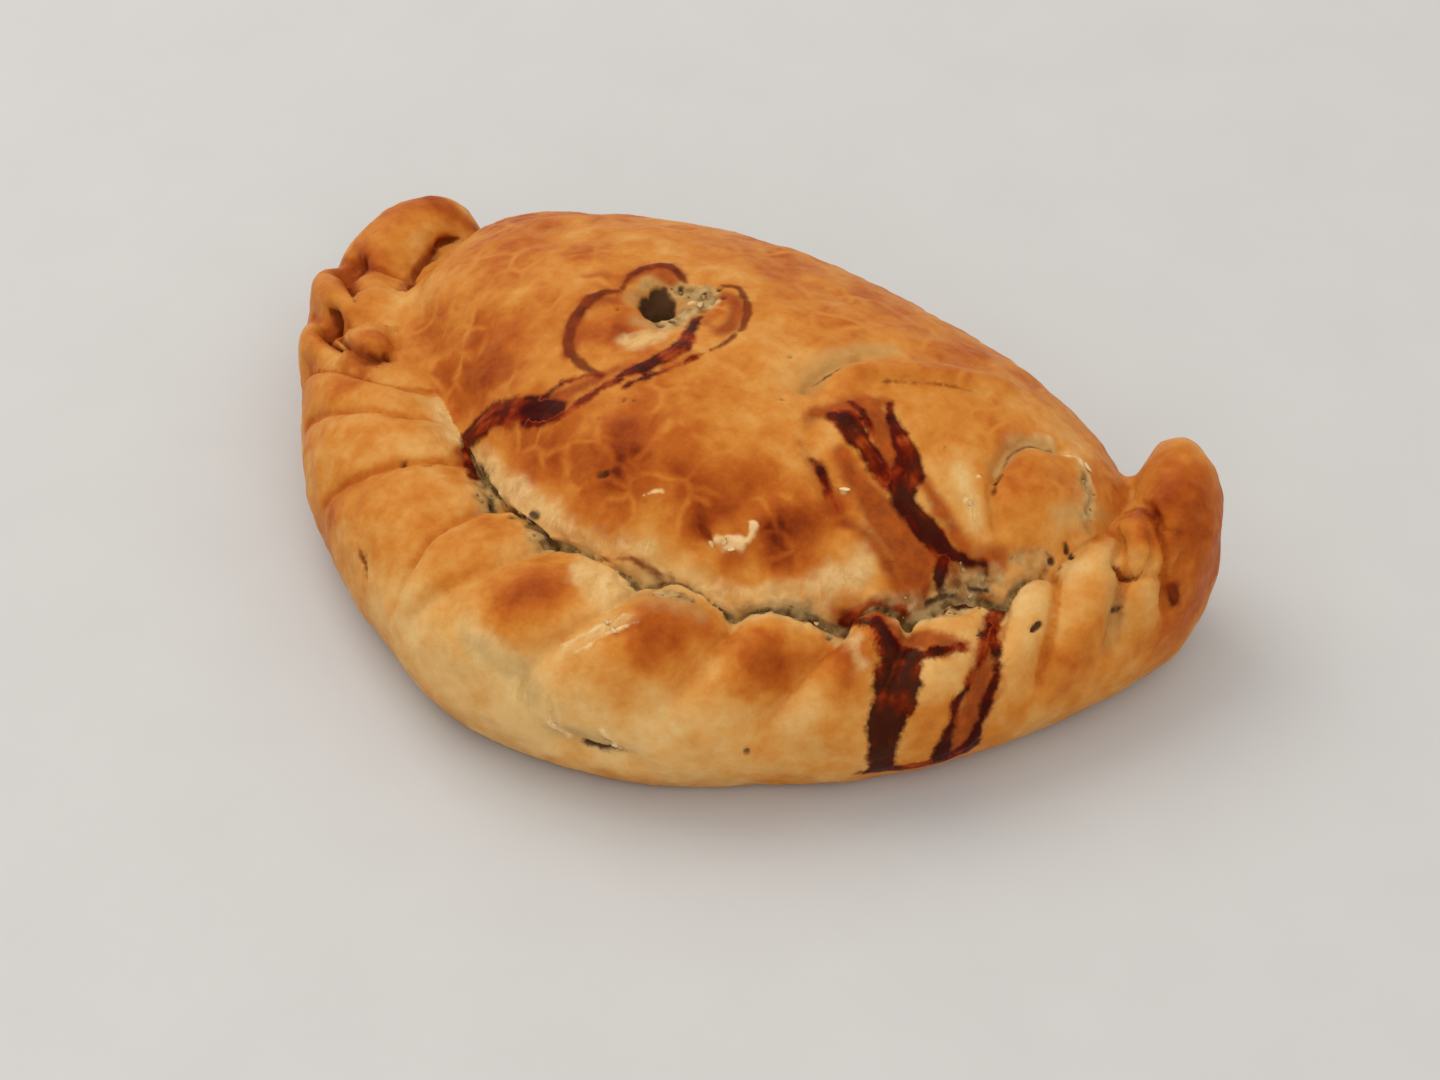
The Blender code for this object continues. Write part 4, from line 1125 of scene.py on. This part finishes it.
def crust_mesh():
    """The crust's form with its small relief, and what its points lie on, kept as attributes."""
    loaf = loaf_skin()
    crimp = crimp_skin()
    mesh = one_surface([loaf, crimp[:2], web_skin()])
    points = mesh_points(mesh)
    fields = crust_fields(points, crimp, loaf)
    closed = (1.0 - seam_share(points)) * np.where(points[:, 0] < 0.0, *CLOSED_SEAM_SMOOTHING)
    soft = SMOOTHING + closed * np.exp(-(fields["seam"] / CLOSED_SEAM_REACH) ** 2)
    soft *= smooth_step(0.5, 4.0, points[:, 2])
    points = neighbour_mean(mesh, points, SMOOTHING_ROUNDS, soft)
    set_points(mesh, points)
    points = points + mesh_normals(mesh) * crust_relief(points, fields)[:, None]
    points[:, 2] = np.maximum(points[:, 2], 0.0)
    set_points(mesh, points)
    for name, values in fields.items():
        store(mesh, name, values)
    triangles = sum(len(face.vertices) - 2 for face in mesh.polygons)
    mesh = evaluated(mesh, "thin", "DECIMATE", ratio=min(1.0, MOST_TRIANGLES / triangles))
    return mesh, {name: numbers(mesh.attributes[name].data, "value", 1)[:, 0] for name in fields}


def make_crust():
    """The whole crust as one fine surface."""
    mesh, fields = crust_mesh()
    points = mesh_points(mesh)
    layers = {layer: layer_depth(layer, points, fields) for layer in LAYER_EDGES}
    layers["toast_and_crease_shade"] = toast_and_crease_shade(points, fields)
    layers["crack"] = seam_crack(points, fields)
    _, layers["flow_along"], layers["flow_across"] = layer_course("gravy", points, fields).T
    for layer, values in layers.items():
        store(mesh, layer, values)
    normals = mesh_normals(mesh)
    set_points(mesh, to_row(points))
    mesh.shade_smooth()
    mesh.name = "crust"
    return new_piece("crust", mesh), (points, normals, layers)


class Nodes:
    """Shorthand for building a material's nodes."""

    def __init__(self, name):
        self.material = bpy.data.materials.new(name)
        self.material.use_nodes = True
        self.tree = self.material.node_tree
        self.shader = self.tree.nodes["Principled BSDF"]

    def add(self, kind, inputs=None, **settings):
        """A node with some settings and some inputs, which are numbers, colours or other outputs."""
        node = self.tree.nodes.new(kind)
        for key, value in settings.items():
            setattr(node, key, value)
        for key, value in (inputs or {}).items():
            self.put(node, key, value)
        return node

    def put(self, node, key, value):
        if isinstance(value, bpy.types.NodeSocket):
            self.tree.links.new(value, node.inputs[key])
        else:
            node.inputs[key].default_value = value

    def look(self, **values):
        """Sets the shader's sockets, each named with _ for its spaces."""
        for key, value in values.items():
            self.put(self.shader, key.replace("_", " "), value)

    def attribute(self, name):
        return self.add("ShaderNodeAttribute", attribute_name=name).outputs["Fac"]

    def maths(self, operation, *values):
        return self.add("ShaderNodeMath", dict(enumerate(values)), operation=operation).outputs[0]

    def vector(self, operation, inputs):
        return self.add("ShaderNodeVectorMath", inputs, operation=operation).outputs[0]

    def noise(self, scale, detail=4.0, roughness=0.55, place=None):
        place = place or self.add("ShaderNodeTexCoord").outputs["Object"]
        node = self.add("ShaderNodeTexNoise", {"Vector": place, "Scale": scale, "Detail": detail,
                                               "Roughness": roughness})
        return node.outputs["Fac"]

    def veins(self, spacing, wander):
        """1 on the lines between uneven cells, 0 inside them, with sizes in millimetres."""
        place = self.add("ShaderNodeTexCoord").outputs["Object"]
        scale = 0.5 / (wander * MILLIMETRE)
        bend = self.add("ShaderNodeTexNoise", {"Vector": place, "Scale": scale, "Detail": 3.0})
        shift = self.vector("SUBTRACT", {0: bend.outputs["Color"], 1: (0.5, 0.5, 0.5)})
        shift = self.vector("SCALE", {0: shift, "Scale": wander * MILLIMETRE})
        place = self.vector("ADD", {0: place, 1: shift})
        scale = 1.0 / (spacing * MILLIMETRE)
        cells = self.add("ShaderNodeTexVoronoi", {"Vector": place, "Scale": scale},
                         feature="DISTANCE_TO_EDGE")
        return self.maths("SUBTRACT", 1.0, self.step(cells.outputs["Distance"], 0.0, VEIN_WIDTH))

    def ramp(self, factor, stops):
        node = self.add("ShaderNodeValToRGB", {"Fac": factor})
        points = node.color_ramp.elements
        while len(points) < len(stops):
            points.new(0.5)
        for point, (place, colour) in zip(points, stops):
            point.position = place
            point.color = (*colour, 1.0)
        return node.outputs["Color"]

    def mix(self, factor, first, second):
        """A mix of two colours, through the node's factor and its sockets for colours."""
        return self.add("ShaderNodeMix", {0: factor, 6: first, 7: second}, data_type="RGBA").outputs[2]

    def step(self, value, low, high):
        node = self.add("ShaderNodeMapRange", {"Value": value, "From Min": low, "From Max": high})
        node.interpolation_type = "SMOOTHSTEP"
        return node.outputs["Result"]


def drawn_out(nodes, coarse, along, across, form):
    """Noise drawn out along one attribute and narrow across another, for streaks and fibres."""
    length, width, wander, detail, roughness = form
    along = nodes.maths("DIVIDE", nodes.attribute(along), length)
    across = nodes.maths("DIVIDE", nodes.attribute(across), width)
    across = nodes.maths("MULTIPLY_ADD", coarse, wander, across)
    place = nodes.add("ShaderNodeCombineXYZ", {"X": along, "Y": across, "Z": coarse}).outputs[0]
    return nodes.noise(1.0, detail, roughness, place)


def baked_colour(nodes, mottles):
    """Egg-washed pastry from pale gold to dark brown, darker in the crimp's creases as painted shade,
    with a paler cracked pattern on the loaf.
    """
    baked_and_shaded = nodes.attribute("toast_and_crease_shade")
    for size, (_, _, amount) in MOTTLES.items():
        wave = nodes.maths("MULTIPLY", nodes.maths("SUBTRACT", mottles[size], 0.5), amount)
        baked_and_shaded = nodes.maths("ADD", baked_and_shaded, wave)
    veins = nodes.veins(VEIN_SPACING, VEIN_WANDER)
    veins = nodes.maths("MULTIPLY", veins, nodes.step(mottles["coarse"], *VEIN_PATCHES))
    shown = nodes.maths("MULTIPLY", nodes.step(baked_and_shaded, *VEIN_BROWNNESS), VEIN_PALENESS)
    shown = nodes.maths("MULTIPLY", shown, nodes.maths("SUBTRACT", 1.0, nodes.attribute("on_crimp")))
    baked_and_shaded = nodes.maths("SUBTRACT", baked_and_shaded, nodes.maths("MULTIPLY", veins, shown))
    return nodes.ramp(baked_and_shaded, CRUST_COLOURS)


def layered_colour(nodes, colour, mottles):
    """The layers over the baked crust, and how much each of them covers at a point."""
    coarse = mottles["coarse"]
    medium = mottles["medium"]
    clots = nodes.noise(*CLOTS)
    patterns = {
        # The gravy's lighter streaks are partly painted highlights.
        "gravy": drawn_out(nodes, coarse, "flow_along", "flow_across", GRAVY_STREAKS_AND_HIGHLIGHTS),
        "bready": drawn_out(nodes, coarse, "seam", "place", TORN_FIBRES),
        "crumb": clots,
    }
    masks = {}
    for layer, (low, high, ragged, amount, ramp) in LAYER_COLOURS.items():
        edge = nodes.maths("MULTIPLY", nodes.maths("SUBTRACT", medium, 0.5), ragged)
        depth = nodes.maths("ADD", nodes.attribute(layer), edge)
        masks[layer] = nodes.step(depth, low, high)
        pattern = patterns.get(layer, medium)
        if layer == "gravy":
            pattern = nodes.maths("MULTIPLY_ADD", depth, -GRAVY_DARKENING, pattern)
        tone = nodes.ramp(pattern, ramp)
        colour = nodes.mix(nodes.maths("MULTIPLY", masks[layer], amount), colour, tone)
    crack = nodes.step(nodes.attribute("crack"), *CRACK_SHOWN)
    crack = nodes.maths("MULTIPLY", crack, CRACK_COVER)
    return nodes.mix(crack, colour, nodes.ramp(clots, CRACK_COLOURS)), masks


def crust_material():
    """Baked pastry with gravy, dried juice and torn dough, and painted shade in its creases, hollows and
    pits, duller where it is torn.
    """
    nodes = Nodes("baked_crust")
    mottles = {size: nodes.noise(scale, detail, MOTTLE_ROUGHNESS)
               for size, (scale, detail, _) in MOTTLES.items()}
    colour, masks = layered_colour(nodes, baked_colour(nodes, mottles), mottles)
    rough = nodes.maths("MULTIPLY_ADD", mottles["medium"], MOTTLED_ROUGHNESS, CRUST_ROUGHNESS)
    torn = nodes.maths("MAXIMUM", masks["crumb"], masks["pale"])
    rough = nodes.maths("MULTIPLY_ADD", torn, TORN_ROUGHNESS, rough)
    ends = {0: masks["gravy"], 2: rough, 3: GRAVY_ROUGHNESS}
    rough = nodes.add("ShaderNodeMix", ends, data_type="FLOAT")
    height = nodes.maths("MULTIPLY", mottles["fine"], FINE_RISE)
    height = nodes.maths("MULTIPLY_ADD", mottles["medium"], MEDIUM_RISE, height)
    bump = nodes.add("ShaderNodeBump", {"Height": height, "Strength": 0.5, "Distance": BUMP_HEIGHT})
    nodes.look(Base_Color=colour, Roughness=rough.outputs[0], Normal=bump.outputs["Normal"],
               Specular_IOR_Level=0.055, Specular_Tint=(1.0, 0.64, 0.38, 1.0), Subsurface_Weight=0.12,
               Subsurface_Radius=(1.0, 0.35, 0.12), Subsurface_Scale=0.002)
    return nodes.material


def chip_material(name, colours, roughness):
    """Dough or filling in small pieces, each of its own tone."""
    nodes = Nodes(name)
    tone = nodes.maths("MULTIPLY_ADD", nodes.noise(700.0), 0.4, nodes.attribute("tone"))
    colour = nodes.ramp(nodes.maths("SUBTRACT", tone, 0.2), colours)
    nodes.look(Base_Color=colour, Roughness=roughness, Specular_IOR_Level=0.25, Subsurface_Weight=0.1,
               Subsurface_Radius=(1.0, 0.5, 0.25), Subsurface_Scale=0.001)
    return nodes.material


def plain_material(name, colour, roughness):
    nodes = Nodes(name)
    darker = tuple(0.97 * part for part in colour)
    tone = nodes.ramp(nodes.noise(40.0), [(0.3, darker), (0.7, colour)])
    nodes.look(Base_Color=tone, Roughness=roughness)
    return nodes.material


def make_floor():
    """A plain pale floor, just below the pasty."""
    corners = [(x * FLOOR_HALF_WIDTH, y * FLOOR_HALF_WIDTH, 0.0)
               for x, y in ((-1, -1), (1, -1), (1, 1), (-1, 1))]
    mesh = new_mesh("floor", corners, [(0, 1, 2, 3)])
    mesh.materials.append(plain_material("pale_floor", FLOOR_COLOUR, 0.6))
    floor = new_piece("floor", mesh)
    floor.location.z = cad_low[2] - FLOOR_GAP


def aim_piece(piece, at, aim):
    """Puts a light or a camera at a place and turns it to face another."""
    piece.location = at
    piece.rotation_euler = (Vector(aim) - Vector(at)).to_track_quat("-Z", "Y").to_euler()


def light_scene():
    """Broad window light from the left and behind, with a soft fill."""
    for name, (at, size, energy, colour) in LIGHTS.items():
        light = bpy.data.lights.new(name, "AREA")
        light.size = size
        light.energy = energy
        light.color = colour
        aim_piece(new_piece(name, light), at, (0.0, 0.0, 0.0))
    world = bpy.data.worlds.new("soft_room")
    world.use_nodes = True
    background = world.node_tree.nodes["Background"]
    background.inputs["Color"].default_value = ROOM_COLOUR
    background.inputs["Strength"].default_value = ROOM_BRIGHTNESS
    bpy.context.scene.world = world
    bpy.context.scene.view_settings.view_transform = "Standard"


def place_camera():
    """The photograph's own viewpoint."""
    data = bpy.data.cameras.new("camera")
    data.lens = CAMERA_LENS
    data.sensor_width = CAMERA_SENSOR
    data.clip_start = 0.01
    camera = new_piece("camera", data)
    aim_piece(camera, to_row(CAMERA_AT), to_row(CAMERA_AIM))
    bpy.context.scene.camera = camera


crust, crust_surface = make_crust()
crust.data.materials.append(crust_material())
crumbs = make_crumbs(crust_surface)
crumbs.data.materials.append(chip_material("crumb", CRUMB_COLOURS, 0.8))
flakes = make_flakes(crust_surface)
flakes.data.materials.append(chip_material("flaky_dough", FLAKE_COLOURS, 0.6))
for piece in (crust, crumbs, flakes):
    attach(piece, "root")
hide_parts("pasty")
make_floor()
light_scene()
place_camera()
